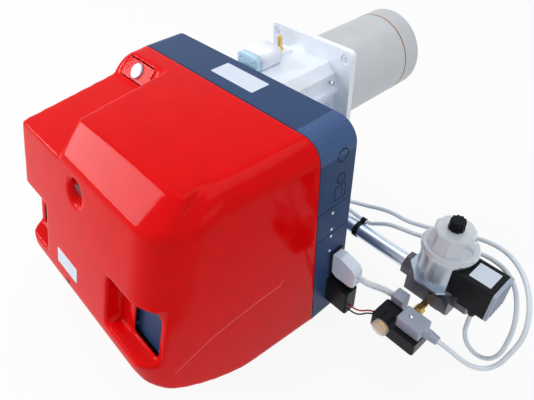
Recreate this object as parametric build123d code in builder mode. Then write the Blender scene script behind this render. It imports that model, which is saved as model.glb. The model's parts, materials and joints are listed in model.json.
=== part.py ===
"""Forced-draught industrial gas burner with its gas train, as an assembly of separate pieces.

Millimetres. +Y runs along the blast tube into the boiler, +X points to the gas train, +Z is up.
The origin is the centre of the bolt pattern on the boiler side of the flange.
"""

from build123d import *
import math
import os

os.makedirs("parts", exist_ok=True)

# ---------------------------------------------------------------- boiler flange and blast tube
bolt_spacing = 158.4
bolt_hole_r = 4.5
slot_pad_r = 9.0
slot_pad_depth = 1.5
flange_side_edge = 12.8
flange_top_edge = 14.8
flange_width = bolt_spacing + 2 * flange_side_edge
flange_height = bolt_spacing + 2 * flange_top_edge
flange_thickness = 11.0
flange_corner_r = 9.0
tube_r = 76.0
tube_wall = 2.0
tube_length = 215.0
tube_seat_depth = 7.0
end_ring_length = 40.0
end_ring_mouth_r = 66.0
end_ring_lip = 3.0

# ---------------------------------------------------------------- air duct of the sleeve casting
duct_width = 120.0
duct_height = 128.0
duct_chamfer = 15.0
duct_bore_r = 54.0
rear_flange_width = 178.0
rear_flange_top = 72.0
rear_flange_bottom = -86.0
rear_flange_thickness = 12.0
fin_z = 16.0
fin_height = 7.0
fin_reach = 9.0
gas_y = -64.0
gas_boss_r = 22.0
gas_boss_drop = 22.0

# ---------------------------------------------------------------- body shell and hood
shell_back_y = -142.0
shell_depth = 71.0
shell_wall = 4.0
body_half_width = 217.0
body_top = 84.0
body_bottom = -305.0
body_top_r = 34.0
body_bottom_r = 18.0
seam_gap = 0.3
hood_wall = 3.5
hood_front_y = -512.0
hood_front_half_width = 192.0
hood_front_drop = 8.0
hood_corner_r = 44.0
hood_side_r = 14.0
panel_top_y = -398.0
panel_bottom_y = -447.0
panel_bottom_z = 41.0
lip_z = -168.0
chin_start_y = -273.0
notch_back_y = -243.0
notch_depth = 35.0
notch_right_back = -92.0
notch_right_front = -62.0
pocket_top = -66.0
pocket_floor = -150.0
pocket_depth = 23.0
pocket_right_start = 82.0
pocket_left_start = -117.0
window_height = 62.0
right_window = (42.0, 58.0)
left_window = (14.0, 44.0)
recess_x = -15.0
recess_z = 8.0
recess_r = 21.0
recess_depth = 14.0

# ---------------------------------------------------------------- buttons and hood screw
box_side_gap = 12.0
box_width = 96.0
button_x = shell_wall + box_side_gap + box_width / 2 - body_half_width
button_r = 13.5
button_proud = 3.0
button_travel = 3.0
button_panel_width = 78.0
button_panel_height = 33.0
button_panel_thickness = 3.0
running_gap = 0.3
shaft_clearance = 0.05
hood_screw_r = 4.0
hood_screw_head_r = 9.0
hood_screw_head = 7.0
stud_across_flats = 14.0

# ---------------------------------------------------------------- fan, motor and air damper
fan_y = -300.0
fan_z = -105.0
scroll_r = 141.0
scroll_step = 18.0
scroll_width = 80.0
scroll_wall = 2.5
scroll_inlet_r = 52.0
impeller_r = 76.0
impeller_eye_r = 54.0
impeller_width = 60.0
blade_count = 24
blade_thickness = 1.2
hub_r = 14.0
shaft_r = 7.0
motor_r = 52.0
motor_length = 118.0
motor_flange_r = 60.0
motor_flange = 4.0
motor_hub_r = 22.0
capacitor_r = 15.0
capacitor_length = 60.0
plenum_half = 56.0
plenum_depth = 27.0
throat_half_width = 38.0
throat_half_height = 49.0
throat_depth = 46.0
air_box_wall = 3.0
damper_shaft_r = 4.0
damper_plate = 2.0
damper_side_gap = 0.6
cam_r = 17.0
cam_thickness = 7.0
servo_height = 42.0

# ---------------------------------------------------------------- gas train
pipe_r = 13.45
pipe_bore_r = 10.8
pipe_z = -194.0
socket_r = 18.0
socket_reach = 27.0
thread_depth = 13.0
valve_x = 352.0
valve_length = 120.0
valve_block_length = 76.0
valve_block_depth = 74.0
valve_block_height = 54.0
valve_port_r = 12.05
valve_end_flats = 38.0
base_plate_thickness = 4.0
base_plate_flats = 92.0
can_r = 40.0
can_height = 56.0
rim_r = 43.5
rim_height = 6.0
cap_r = 36.0
cap_top_r = 30.0
cap_height = 31.5
cap_facets = 10
cap_edge = 2.5
knob_r = 12.0
knob_height = 16.5
coil_box_width = 51.0
coil_box_y = -69.5
coil_box_top = -116.0
coil_box_bottom = -173.0
coil_box_end_x = 441.0
end_plate_thickness = 5.0
coil_gland_x = 421.0
coil_gland_y = -84.0
gland_r = 7.0
gland_length = 16.0

# ---------------------------------------------------------------- gas pressure switch
switch_left = 312.0
switch_length = 80.0
switch_front_y = -183.0
switch_depth = 42.0
switch_top = -205.0
switch_height = 27.0
switch_port_r = 9.0
dial_x = 334.0
dial_z = -215.0
dial_r = 10.5
dial_cover_r = 14.0
dial_cover_wall = 1.6
dial_cover_reach = 9.0
din_left = 348.5
din_length = 42.0
din_width = 32.0
din_height = 20.0
din_gland_length = 22.0
din_gland_r = 8.5

# ---------------------------------------------------------------- electrics on the right side
plug_length = 45.0
plug_width = 20.0
plug_y = -164.0
plug_top = -150.0
plug_height = 48.0
socket_plate = 3.0
air_switch_length = 45.0
air_switch_width = 28.0
air_switch_y = -169.0
air_switch_top = -206.0
air_switch_height = 58.0
lead_r = 3.6
plug_lead_r = 2.5
grommet_flange = 3.4
grommet_thickness = 3.0
wire_r = 1.4

shell_front_y = shell_back_y - shell_depth
hood_back_y = shell_front_y - seam_gap
back_wall_y = shell_back_y - shell_wall
port_top = pipe_z + valve_block_height / 2
can_bottom = port_top + base_plate_thickness
can_top = can_bottom + can_height


def at_y(y):
    """Plane whose normal points to -Y, seen from the hood: local x is X and local y is Z."""
    return Plane.XZ.offset(-y)


def at_x(x):
    """Plane whose normal points to +X: local x is Y and local y is Z."""
    return Plane.YZ.offset(x)


def at_z(z):
    return Plane.XY.offset(z)


def finish(piece, name):
    piece.part.label = name
    export_step(piece.part, f"parts/{name}.step")


def bar(plane, radius, length):
    """Round bar standing on a plane."""
    with BuildPart() as made:
        with BuildSketch(plane):
            Circle(radius)
        extrude(amount=length)
    return made.part


def body_section(y, half_width, top, bottom, top_r, bottom_r):
    """Rounded outline of the body across Y."""
    with BuildSketch(at_y(y)) as outline:
        with Locations((0, (top + bottom) / 2)):
            Rectangle(2 * half_width, top - bottom)
        fillet(outline.vertices().group_by(Axis.Y)[-1], top_r)
        fillet(outline.vertices().group_by(Axis.Y)[0], bottom_r)
    return outline.sketch


# ================================================================ sleeve casting
duct_length = -shell_back_y - flange_thickness
with BuildPart() as sleeve_casting:
    with BuildSketch(at_y(0)):
        RectangleRounded(flange_width, flange_height, flange_corner_r)
    extrude(amount=flange_thickness)
    with BuildSketch(at_y(-flange_thickness)) as duct_outline:
        Rectangle(duct_width, duct_height)
        chamfer(duct_outline.vertices(), duct_chamfer)
    extrude(amount=duct_length)
    rear_mid = (rear_flange_top + rear_flange_bottom) / 2
    with BuildSketch(at_y(shell_back_y + rear_flange_thickness)):
        with Locations((0, rear_mid)):
            RectangleRounded(rear_flange_width, rear_flange_top - rear_flange_bottom, 12)
    extrude(amount=rear_flange_thickness)
    # Gussets that stiffen the rear flange, and the cooling fin along each side of the duct.
    with BuildSketch(at_z(fin_z)):
        with BuildLine():
            Polyline(
                (duct_width / 2 - 1, -flange_thickness + 1),
                (duct_width / 2 + fin_reach, -flange_thickness + 1),
                (duct_width / 2 + fin_reach, -70),
                (rear_flange_width / 2 - 6, shell_back_y + rear_flange_thickness),
                (duct_width / 2 - 1, shell_back_y + rear_flange_thickness),
                close=True,
            )
        make_face()
        mirror(about=Plane.YZ)
    extrude(amount=fin_height)
    # Raised pad that carries the test nipple.
    with BuildSketch(at_z(duct_height / 2)):
        with Locations((-36, -47)):
            RectangleRounded(26, 40, 5)
    extrude(amount=6, taper=8)
    # Gas boss below the duct.
    with BuildSketch(at_z(-duct_height / 2 + 6)):
        with Locations((0, gas_y)):
            Circle(gas_boss_r)
    extrude(amount=-gas_boss_drop - 6)
    with BuildSketch(at_y(0)):
        Circle(tube_r)
    extrude(amount=tube_seat_depth, mode=Mode.SUBTRACT)
    with BuildSketch(at_y(0)):
        Circle(duct_bore_r)
    extrude(amount=-shell_back_y, mode=Mode.SUBTRACT)
    with BuildSketch(at_z(0)):
        with Locations((0, gas_y)):
            Circle(pipe_r)
    extrude(amount=-duct_height / 2 - gas_boss_drop, mode=Mode.SUBTRACT)
    # Four round bolt holes, each in a shallow diagonal pad on the burner side.
    with Locations(at_y(-flange_thickness)):
        with GridLocations(bolt_spacing, bolt_spacing, 2, 2):
            Cylinder(
                slot_pad_r, slot_pad_depth, align=(Align.CENTER, Align.CENTER, Align.MAX), mode=Mode.SUBTRACT
            )
            Cylinder(
                bolt_hole_r, flange_thickness, align=(Align.CENTER, Align.CENTER, Align.MAX), mode=Mode.SUBTRACT
            )
finish(sleeve_casting, "sleeve_casting")

with BuildPart() as test_nipple:
    with BuildSketch(at_z(duct_height / 2 + 6)):
        with Locations((-36, -47)):
            RegularPolygon(6.2, 6)
    extrude(amount=5)
    with BuildSketch(at_z(duct_height / 2 + 11)):
        with Locations((-36, -47)):
            Circle(4.2)
    extrude(amount=14)
    with BuildSketch(at_z(duct_height / 2 + 25)):
        with Locations((-36, -47)):
            Circle(4.8)
            Circle(1.5, mode=Mode.SUBTRACT)
    extrude(amount=6, taper=8)
finish(test_nipple, "test_nipple")

with BuildPart() as hex_plug:
    with BuildSketch(at_x(duct_width / 2)):
        with Locations((-33, -8)):
            Circle(9)
    extrude(amount=3)
    with BuildSketch(at_x(duct_width / 2 + 3)):
        with Locations((-33, -8)):
            RegularPolygon(7.5, 6)
    extrude(amount=9)
finish(hex_plug, "hex_plug")

bracket_top_y = shell_back_y + rear_flange_thickness
with BuildPart() as top_bracket:
    with BuildSketch(at_x(-70)):
        with BuildLine():
            Polyline(
                (shell_back_y, rear_flange_top),
                (bracket_top_y + 24, rear_flange_top),
                (bracket_top_y + 24, rear_flange_top + 3),
                (shell_back_y + 3, rear_flange_top + 3),
                (shell_back_y + 3, body_top - 3),
                (shell_back_y, body_top - 3),
                close=True,
            )
        make_face()
    extrude(amount=56)
    with BuildSketch(at_z(rear_flange_top)):
        with Locations((-42, bracket_top_y + 13)):
            SlotOverall(26, 8)
    extrude(amount=4, mode=Mode.SUBTRACT)
finish(top_bracket, "top_bracket")

# ================================================================ blast tube and combustion head
tube_joint_y = tube_length - end_ring_length
with BuildPart() as blast_tube:
    with BuildSketch(at_y(-tube_seat_depth)):
        Circle(tube_r)
        Circle(tube_r - tube_wall, mode=Mode.SUBTRACT)
    extrude(amount=-(tube_seat_depth + tube_joint_y))
finish(blast_tube, "blast_tube")

with BuildPart() as tube_end_ring:
    with BuildSketch(at_x(0)):
        with BuildLine():
            Polyline(
                (tube_joint_y, tube_r - tube_wall),
                (tube_joint_y, tube_r),
                (tube_length - 2, tube_r),
                (tube_length, tube_r - 2),
                (tube_length, end_ring_mouth_r),
                (tube_length - end_ring_lip, end_ring_mouth_r),
                (tube_length - end_ring_lip - 6, tube_r - tube_wall),
                close=True,
            )
        make_face()
    revolve(axis=Axis.Y)
finish(tube_end_ring, "tube_end_ring")

head_y = tube_joint_y - 20
distributor_r = 17.0
nozzle_r = 32.0
nozzle_length = 12.0
disc_r = 62.0
disc_thickness = 1.5
ceramic_r = 4.0
with BuildPart() as gas_distributor:
    with BuildSketch(at_y(gas_y - 22)):
        Circle(distributor_r)
    extrude(amount=-(head_y - nozzle_length - gas_y + 22))
    with BuildSketch(at_z(0)):
        with Locations((0, gas_y)):
            Circle(pipe_r - running_gap)
    extrude(amount=-duct_height / 2)
    with BuildSketch(at_y(head_y - nozzle_length)):
        Circle(nozzle_r)
    extrude(amount=-nozzle_length)
    with BuildSketch(at_z(-duct_height / 2)):
        with Locations((0, gas_y)):
            Circle(9)
    extrude(amount=duct_height / 2, mode=Mode.SUBTRACT)
    with BuildSketch(at_y(gas_y - 16)):
        Circle(12)
    extrude(amount=-(head_y - nozzle_length - gas_y + 12), mode=Mode.SUBTRACT)
    # Gas ports round the nozzle head.
    with Locations(at_y(head_y - nozzle_length / 2)):
        with PolarLocations(nozzle_r - 8, 12, start_angle=15):
            Cylinder(2, nozzle_length + 2, mode=Mode.SUBTRACT)
finish(gas_distributor, "gas_distributor")

with BuildPart() as flame_disc:
    with BuildSketch(at_y(head_y)):
        Circle(disc_r)
        Circle(9, mode=Mode.SUBTRACT)
        with PolarLocations((disc_r + nozzle_r) / 2 + 2, 12):
            SlotOverall(disc_r - nozzle_r - 10, 4, mode=Mode.SUBTRACT)
        with PolarLocations(nozzle_r + 7, 2, start_angle=52.5):
            Circle(ceramic_r + 1.2, mode=Mode.SUBTRACT)
        with PolarLocations(nozzle_r + 7, 1, start_angle=277.5):
            Circle(ceramic_r + 1.2, mode=Mode.SUBTRACT)
    extrude(amount=-disc_thickness)
finish(flame_disc, "flame_disc")


def electrode(angle):
    """Ceramic rod in a clamp on the gas tube, with a bare metal tip beyond the flame disc."""
    reach = nozzle_r + 7
    x = reach * math.cos(math.radians(angle))
    z = reach * math.sin(math.radians(angle))
    start_y = head_y - 90
    ceramic = bar(at_y(start_y).shift_origin((x, start_y, z)), ceramic_r, -(110))
    tip = bar(at_y(head_y + 20).shift_origin((x, head_y + 20, z)), 1.2, -14)
    return ceramic + tip


# Two ignition electrodes and the ionisation probe.
with BuildPart() as electrodes:
    for rod_angle in (52.5, 232.5, 277.5):
        add(electrode(rod_angle))
finish(electrodes, "electrodes")

clamp_y = head_y - 70
with BuildPart() as electrode_clamp:
    with BuildSketch(at_y(clamp_y)) as clamp_outline:
        Circle(nozzle_r + 14)
        Circle(distributor_r, mode=Mode.SUBTRACT)
        with PolarLocations(nozzle_r + 7, 1, start_angle=52.5):
            Circle(ceramic_r, mode=Mode.SUBTRACT)
        with PolarLocations(nozzle_r + 7, 1, start_angle=232.5):
            Circle(ceramic_r, mode=Mode.SUBTRACT)
        with PolarLocations(nozzle_r + 7, 1, start_angle=277.5):
            Circle(ceramic_r, mode=Mode.SUBTRACT)
        with PolarLocations(nozzle_r, 4, start_angle=0):
            Circle(10, mode=Mode.SUBTRACT)
    extrude(amount=-6)
finish(electrode_clamp, "electrode_clamp")

# ================================================================ back shell
groove = 1.5
groove_depth = 1.0
with BuildPart() as back_shell:
    outer = body_section(shell_back_y, body_half_width, body_top, body_bottom, body_top_r, body_bottom_r)
    extrude(outer, amount=shell_depth)
    inner_half = body_half_width - shell_wall
    inner = body_section(
        back_wall_y,
        inner_half,
        body_top - shell_wall,
        body_bottom + shell_wall,
        body_top_r - shell_wall,
        body_bottom_r - shell_wall,
    )
    extrude(inner, amount=shell_depth, mode=Mode.SUBTRACT)
    with BuildSketch(at_y(shell_back_y)):
        Circle(duct_bore_r)
    extrude(amount=shell_wall, mode=Mode.SUBTRACT)
    # Two round knock-outs and the recessed lines of the right side.
    with BuildSketch(at_x(body_half_width)):
        with Locations((-169, 45)):
            Circle(11)
            Circle(11 - groove, mode=Mode.SUBTRACT)
        with Locations((-169, 5)):
            Circle(9)
            Circle(9 - groove, mode=Mode.SUBTRACT)
        for line_z in (-42, -98):
            with Locations((shell_back_y - shell_depth / 2, line_z)):
                Rectangle(shell_depth, groove)
    extrude(amount=-groove_depth, mode=Mode.SUBTRACT)
finish(back_shell, "back_shell")

lead_exits = ((121.0, -159.0), (109.0, -141.0))
with BuildPart() as lead_grommets:
    for exit_x, exit_z in lead_exits:
        with BuildSketch(at_y(shell_back_y)):
            with Locations((exit_x, exit_z)):
                Circle(lead_r + grommet_flange)
        extrude(amount=-grommet_thickness)
    chamfer(lead_grommets.edges().group_by(Axis.Y)[-1], 1)
finish(lead_grommets, "lead_grommets")

# ================================================================ hood
beyond = 450.0


def hood_side(inset):
    """Side view of the hood: flat top, sloping panel, leaning front face and curved chin."""
    with BuildSketch(at_x(-beyond)) as side:
        with BuildLine():
            Polyline(
                (chin_start_y, body_bottom),
                (chin_start_y, body_bottom - 40),
                (hood_back_y + 30, body_bottom - 40),
                (hood_back_y + 30, body_top + 40),
                (panel_top_y, body_top + 40),
                (panel_top_y, body_top - 2),
                (panel_bottom_y, panel_bottom_z),
                (hood_front_y, lip_z),
                (hood_front_y + 6, lip_z - 24),
            )
            ThreePointArc((hood_front_y + 6, lip_z - 24), (-415, -272), (chin_start_y, body_bottom))
        make_face()
        if inset:
            offset(amount=-inset)
        side_corners = side.vertices().filter_by(lambda v: v.Y < body_top - 1 and v.X < -430)
        fillet(side_corners, hood_side_r - inset)
    return side.sketch


def hood_plan(inset):
    """Plan view of the hood: tapered sides and rounded front corners."""
    back = body_half_width - inset
    front = hood_front_half_width - inset
    with BuildSketch(at_z(-beyond)) as plan:
        with BuildLine():
            Polyline(
                (-back, hood_back_y),
                (-front, hood_front_y + inset),
                (front, hood_front_y + inset),
                (back, hood_back_y),
                (back, hood_back_y + 30),
                (-back, hood_back_y + 30),
                close=True,
            )
        make_face()
        fillet(plan.vertices().group_by(Axis.Y)[0], hood_corner_r - inset)
    return plan.sketch


def hood_form(inset):
    """Solid hood without its cut-outs, brought in all round by an inset."""
    with BuildPart() as form:
        first = body_section(
            hood_back_y,
            body_half_width - inset,
            body_top - inset,
            body_bottom + inset,
            body_top_r - inset,
            body_bottom_r - inset,
        )
        last = body_section(
            hood_front_y - 10,
            hood_front_half_width - inset,
            body_top - hood_front_drop - inset,
            body_bottom + inset,
            body_top_r - inset,
            body_bottom_r - inset,
        )
        add(first)
        add(last)
        loft(ruled=True)
        extrude(hood_side(inset), amount=2 * beyond, mode=Mode.INTERSECT)
        extrude(hood_plan(inset), amount=2 * beyond, mode=Mode.INTERSECT)
    return form.part


def notch_form(grow):
    """Channel on the top left with the slanted facet of the reset button at its back."""
    with BuildPart() as form:
        with BuildSketch(at_x(-beyond)) as side:
            with BuildLine():
                Polyline(
                    (notch_back_y, body_top),
                    (notch_back_y - notch_depth, body_top - notch_depth),
                    (hood_front_y - 60, body_top - notch_depth - 20),
                    (hood_front_y - 60, body_top + 80),
                    (notch_back_y + 80, body_top + 80),
                    close=True,
                )
            make_face()
            if grow:
                offset(amount=grow, kind=Kind.INTERSECTION)
        extrude(amount=2 * beyond)
        with BuildSketch(at_z(-beyond)):
            with BuildLine():
                Polyline(
                    (-400, notch_back_y + 120),
                    (notch_right_back + grow - 20, notch_back_y + 120),
                    (notch_right_back + grow, notch_back_y),
                    (notch_right_front + grow, panel_bottom_y),
                    (notch_right_front + grow + 10, hood_front_y - 80),
                    (-400, hood_front_y - 80),
                    close=True,
                )
            make_face()
        extrude(amount=2 * beyond, mode=Mode.INTERSECT)
    return form.part


face_slope = (hood_front_y - panel_bottom_y) / (lip_z - panel_bottom_z)


def face_y(z):
    """Y of the leaning front face at a height."""
    return panel_bottom_y + face_slope * (z - panel_bottom_z)


def pocket_form(start, end, grow):
    """Intake pocket sunk in the leaning front face and open at the side."""
    with BuildPart() as form:
        with BuildSketch(at_x(-beyond)) as side:
            with BuildLine():
                Polyline(
                    (face_y(pocket_top) + pocket_depth, pocket_top),
                    (face_y(pocket_floor) + pocket_depth, pocket_floor),
                    (hood_front_y - 60, pocket_floor),
                    (hood_front_y - 60, pocket_top),
                    close=True,
                )
            make_face()
            if grow:
                offset(amount=grow, kind=Kind.INTERSECTION)
        extrude(amount=2 * beyond)
        low = min(start, end) - (grow if start < end else 0)
        high = max(start, end) + (grow if start > end else 0)
        with BuildSketch(at_z(-beyond)):
            with Locations(((low + high) / 2, hood_front_y + 20)):
                Rectangle(high - low, 240)
        extrude(amount=2 * beyond, mode=Mode.INTERSECT)
    return form.part


def recess_form(grow):
    floor_y = face_y(recess_z) + recess_depth
    with BuildPart() as form:
        with BuildSketch(at_y(floor_y + grow)):
            with Locations((recess_x, recess_z)):
                Circle(recess_r - 4 + grow)
        with BuildSketch(at_y(floor_y - recess_depth - 12)):
            with Locations((recess_x, recess_z)):
                Circle(recess_r + 2 + grow)
        loft()
    return form.part


recess_floor_y = face_y(recess_z) + recess_depth
facet_plane = Plane(
    origin=(button_x, notch_back_y - notch_depth / 2, body_top - notch_depth / 2),
    x_dir=(1, 0, 0),
    z_dir=(0, -1, 1),
)


def pocket_wall(start, sign, window):
    """Plane on the back wall of a pocket, centred on its window, facing out."""
    x = start + sign * (window[0] + window[1] / 2)
    z = pocket_floor + 3 + window_height / 2
    return Plane(origin=(x, face_y(z) + pocket_depth, z), x_dir=(1, 0, 0), z_dir=(0, -1, face_slope))


wall_right = pocket_wall(pocket_right_start, 1, right_window)
wall_left = pocket_wall(pocket_left_start, -1, left_window)
with BuildPart() as hood:
    add(hood_form(0))
    add(notch_form(0), mode=Mode.SUBTRACT)
    add(pocket_form(pocket_right_start, 300, 0), mode=Mode.SUBTRACT)
    add(pocket_form(pocket_left_start, -300, 0), mode=Mode.SUBTRACT)
    add(recess_form(0), mode=Mode.SUBTRACT)
    cavity = hood_form(hood_wall) - notch_form(hood_wall) - recess_form(hood_wall)
    cavity -= pocket_form(pocket_right_start, 300, hood_wall)
    cavity -= pocket_form(pocket_left_start, -300, hood_wall)
    add(cavity, mode=Mode.SUBTRACT)
    for pocket_back, window in ((wall_right, right_window), (wall_left, left_window)):
        with BuildSketch(pocket_back.offset(5)):
            Rectangle(window[1], window_height)
        extrude(amount=-hood_wall - 10, mode=Mode.SUBTRACT)
    with BuildSketch(facet_plane):
        RectangleRounded(button_panel_width, button_panel_height, 3)
    extrude(amount=-10, mode=Mode.SUBTRACT)
    with BuildSketch(at_y(recess_floor_y - 1)):
        with Locations((recess_x, recess_z)):
            Circle(hood_screw_r + running_gap)
    extrude(amount=-12, mode=Mode.SUBTRACT)
finish(hood, "hood")

facet_axis = Axis((0, 0, 0), (0, -1, 1))
with BuildPart() as button_panel:
    with BuildSketch(facet_plane.offset(-running_gap)):
        RectangleRounded(button_panel_width, button_panel_height, 3)
        Circle(button_r + running_gap, mode=Mode.SUBTRACT)
    extrude(amount=-button_panel_thickness)
finish(button_panel, "button_panel")

# The hood's reset button reaches the control box with a long rod.
rod_end = 53.0
with BuildPart() as reset_button:
    with BuildSketch(facet_plane.offset(button_proud)):
        Circle(button_r)
    extrude(amount=-button_proud - 2 * running_gap - button_panel_thickness)
    fillet(reset_button.edges().group_by(facet_axis)[-1], 1.5)
    with BuildSketch(facet_plane.offset(-2 * running_gap - button_panel_thickness)):
        Circle(button_r + 2)
    extrude(amount=-1.5)
    with BuildSketch(facet_plane.offset(-2 * running_gap - button_panel_thickness)):
        Circle(4)
    extrude(amount=-(rod_end - 2 * running_gap - button_panel_thickness))
finish(reset_button, "reset_button")

screw_tip_y = recess_floor_y + 22
with BuildPart() as hood_screw:
    with BuildSketch(at_y(recess_floor_y - running_gap)):
        with Locations((recess_x, recess_z)):
            Circle(hood_screw_head_r)
    extrude(amount=hood_screw_head)
    with BuildSketch(at_y(recess_floor_y - running_gap)):
        with Locations((recess_x, recess_z)):
            Circle(hood_screw_r)
    extrude(amount=-(screw_tip_y - recess_floor_y + running_gap))
    with BuildSketch(at_y(recess_floor_y - running_gap - hood_screw_head)):
        with Locations((recess_x, recess_z)):
            Rectangle(2 * hood_screw_head_r, 2)
    extrude(amount=-2.5, mode=Mode.SUBTRACT)
finish(hood_screw, "hood_screw")

post_length = 6.0
baffle_shift = (-4.0, -3.0)
for side_name, pocket_back, window in (("right", wall_right, right_window), ("left", wall_left, left_window)):
    inner_side = pocket_back.offset(-hood_wall)
    with BuildPart() as baffle:
        with BuildSketch(inner_side):
            with GridLocations(window[1] + 6, window_height - 20, 2, 2):
                Circle(2.5)
        extrude(amount=-post_length)
        with BuildSketch(inner_side.offset(-post_length)):
            with Locations(baffle_shift):
                RectangleRounded(window[1] + 22, window_height + 8, 4)
        extrude(amount=-2.5)
    finish(baffle, f"intake_baffle_{side_name}")

# ================================================================ fan
tongue_height = 47.0
outlet_top = fan_z + scroll_step / 2 + scroll_r
outlet_bottom = fan_z + tongue_height
outlet_mid = (outlet_top + outlet_bottom) / 2
outlet_height = outlet_top - outlet_bottom
fan_axis = Plane(origin=(0, fan_y, fan_z), x_dir=(0, 1, 0), z_dir=(1, 0, 0))


def scroll_outline(x, inset, outlet_y):
    """Four-centre fan scroll across the shaft, opening towards the duct."""
    half = scroll_step / 2
    centers = [(half, half), (-half, half), (-half, -half), (half, -half)]
    arcs = []
    for index, (shift_y, shift_z) in enumerate(centers):
        radius = scroll_r - index * scroll_step - inset
        start = math.pi / 2 * (index + 1)
        sweep = math.pi / 2
        if index == 3:
            sweep = math.asin((tongue_height + inset + half) / radius)
        arc = []
        for share in (0, 0.5, 1):
            turn = start + sweep * share
            arc.append((shift_y + radius * math.cos(turn), shift_z + radius * math.sin(turn)))
        arcs.append(arc)
    mouth = outlet_y - fan_y
    first = arcs[0][0]
    last = arcs[3][2]
    with BuildSketch(fan_axis.offset(x)) as outline:
        with BuildLine():
            for arc in arcs:
                ThreePointArc(*arc)
            Polyline(last, (mouth, last[1]), (mouth, first[1]), first)
        make_face()
    return outline.sketch


half_scroll = scroll_width / 2
with BuildPart() as fan_scroll:
    extrude(scroll_outline(-half_scroll, 0, back_wall_y), amount=scroll_width)
    with BuildSketch(at_y(back_wall_y)):
        with Locations((0, outlet_mid)):
            Rectangle(scroll_width + 24, outlet_height + 20)
    extrude(amount=3)
    scroll_space = scroll_outline(-half_scroll + scroll_wall, scroll_wall, back_wall_y + 10)
    extrude(scroll_space, amount=scroll_width, mode=Mode.SUBTRACT)
    with BuildSketch(fan_axis.offset(-half_scroll)):
        Circle(motor_hub_r)
    extrude(amount=scroll_wall, mode=Mode.SUBTRACT)
finish(fan_scroll, "fan_scroll")

with BuildPart() as scroll_cover:
    extrude(scroll_outline(half_scroll, 0, back_wall_y - 3), amount=scroll_wall)
    with BuildSketch(fan_axis.offset(half_scroll)):
        Circle(scroll_inlet_r)
    extrude(amount=scroll_wall, mode=Mode.SUBTRACT)
finish(scroll_cover, "scroll_cover")

half_wheel = impeller_width / 2
with BuildPart() as impeller:
    with BuildSketch(fan_axis.offset(-half_wheel)):
        Circle(impeller_r)
    extrude(amount=2)
    with BuildSketch(fan_axis.offset(half_wheel - 2)):
        Circle(impeller_r)
        Circle(impeller_eye_r, mode=Mode.SUBTRACT)
    extrude(amount=2)
    with BuildSketch(fan_axis.offset(-half_wheel)):
        Circle(hub_r)
    extrude(amount=40)
    with BuildSketch(fan_axis.offset(-half_wheel + 2)):
        with PolarLocations(0, blade_count):
            with BuildLine():
                inner_end = (impeller_eye_r + 2, 0)
                outer_end = (impeller_r - 1, 8)
                ThreePointArc(inner_end, (impeller_eye_r + 12, 1.2), outer_end)
                Line(outer_end, (impeller_r - 1.6, 8 + blade_thickness))
                ThreePointArc(
                    (impeller_r - 1.6, 8 + blade_thickness),
                    (impeller_eye_r + 11.8, 1.2 + blade_thickness),
                    (impeller_eye_r + 2, blade_thickness),
                )
                Line((impeller_eye_r + 2, blade_thickness), inner_end)
            make_face()
    extrude(amount=impeller_width - 4)
    with BuildSketch(fan_axis.offset(-half_wheel)):
        Circle(shaft_r)
    extrude(amount=impeller_width, mode=Mode.SUBTRACT)
finish(impeller, "impeller")

shaft_in_motor = 60.0
with BuildPart() as rotor_shaft:
    with BuildSketch(fan_axis.offset(-half_scroll - shaft_in_motor)):
        Circle(shaft_r)
    extrude(amount=shaft_in_motor + half_scroll + 14)
finish(rotor_shaft, "rotor_shaft")

motor_face = -half_scroll - motor_flange
with BuildPart() as motor:
    with BuildSketch(fan_axis.offset(motor_face)):
        Circle(motor_flange_r)
    extrude(amount=motor_flange)
    with BuildSketch(fan_axis.offset(-half_scroll)):
        Circle(motor_hub_r)
    extrude(amount=scroll_wall)
    with BuildSketch(fan_axis.offset(motor_face)):
        Circle(motor_r - 4)
        with PolarLocations(motor_r - 4, 20):
            Rectangle(8, 3)
    extrude(amount=-motor_length)
    with BuildSketch(fan_axis.offset(motor_face - motor_length)):
        Circle(motor_r)
    extrude(amount=-10, taper=12)
    with BuildSketch(fan_axis.offset(motor_face - motor_length / 2 - capacitor_length / 2)):
        with Locations((0, motor_r - 2)):
            Rectangle(22, 12)
    extrude(amount=capacitor_length)
    with BuildSketch(fan_axis.offset(motor_face - motor_length / 2 - capacitor_length / 2)):
        with Locations((0, motor_r + capacitor_r)):
            Circle(capacitor_r)
    extrude(amount=capacitor_length, mode=Mode.SUBTRACT)
    with BuildSketch(fan_axis.offset(-half_scroll + scroll_wall)):
        Circle(shaft_r + shaft_clearance)
    extrude(amount=-scroll_wall - shaft_in_motor - 2, mode=Mode.SUBTRACT)
finish(motor, "motor")

with BuildPart() as motor_capacitor:
    with BuildSketch(fan_axis.offset(motor_face - motor_length / 2 - capacitor_length / 2)):
        with Locations((0, motor_r + capacitor_r)):
            Circle(capacitor_r)
    extrude(amount=capacitor_length)
finish(motor_capacitor, "motor_capacitor")

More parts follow.
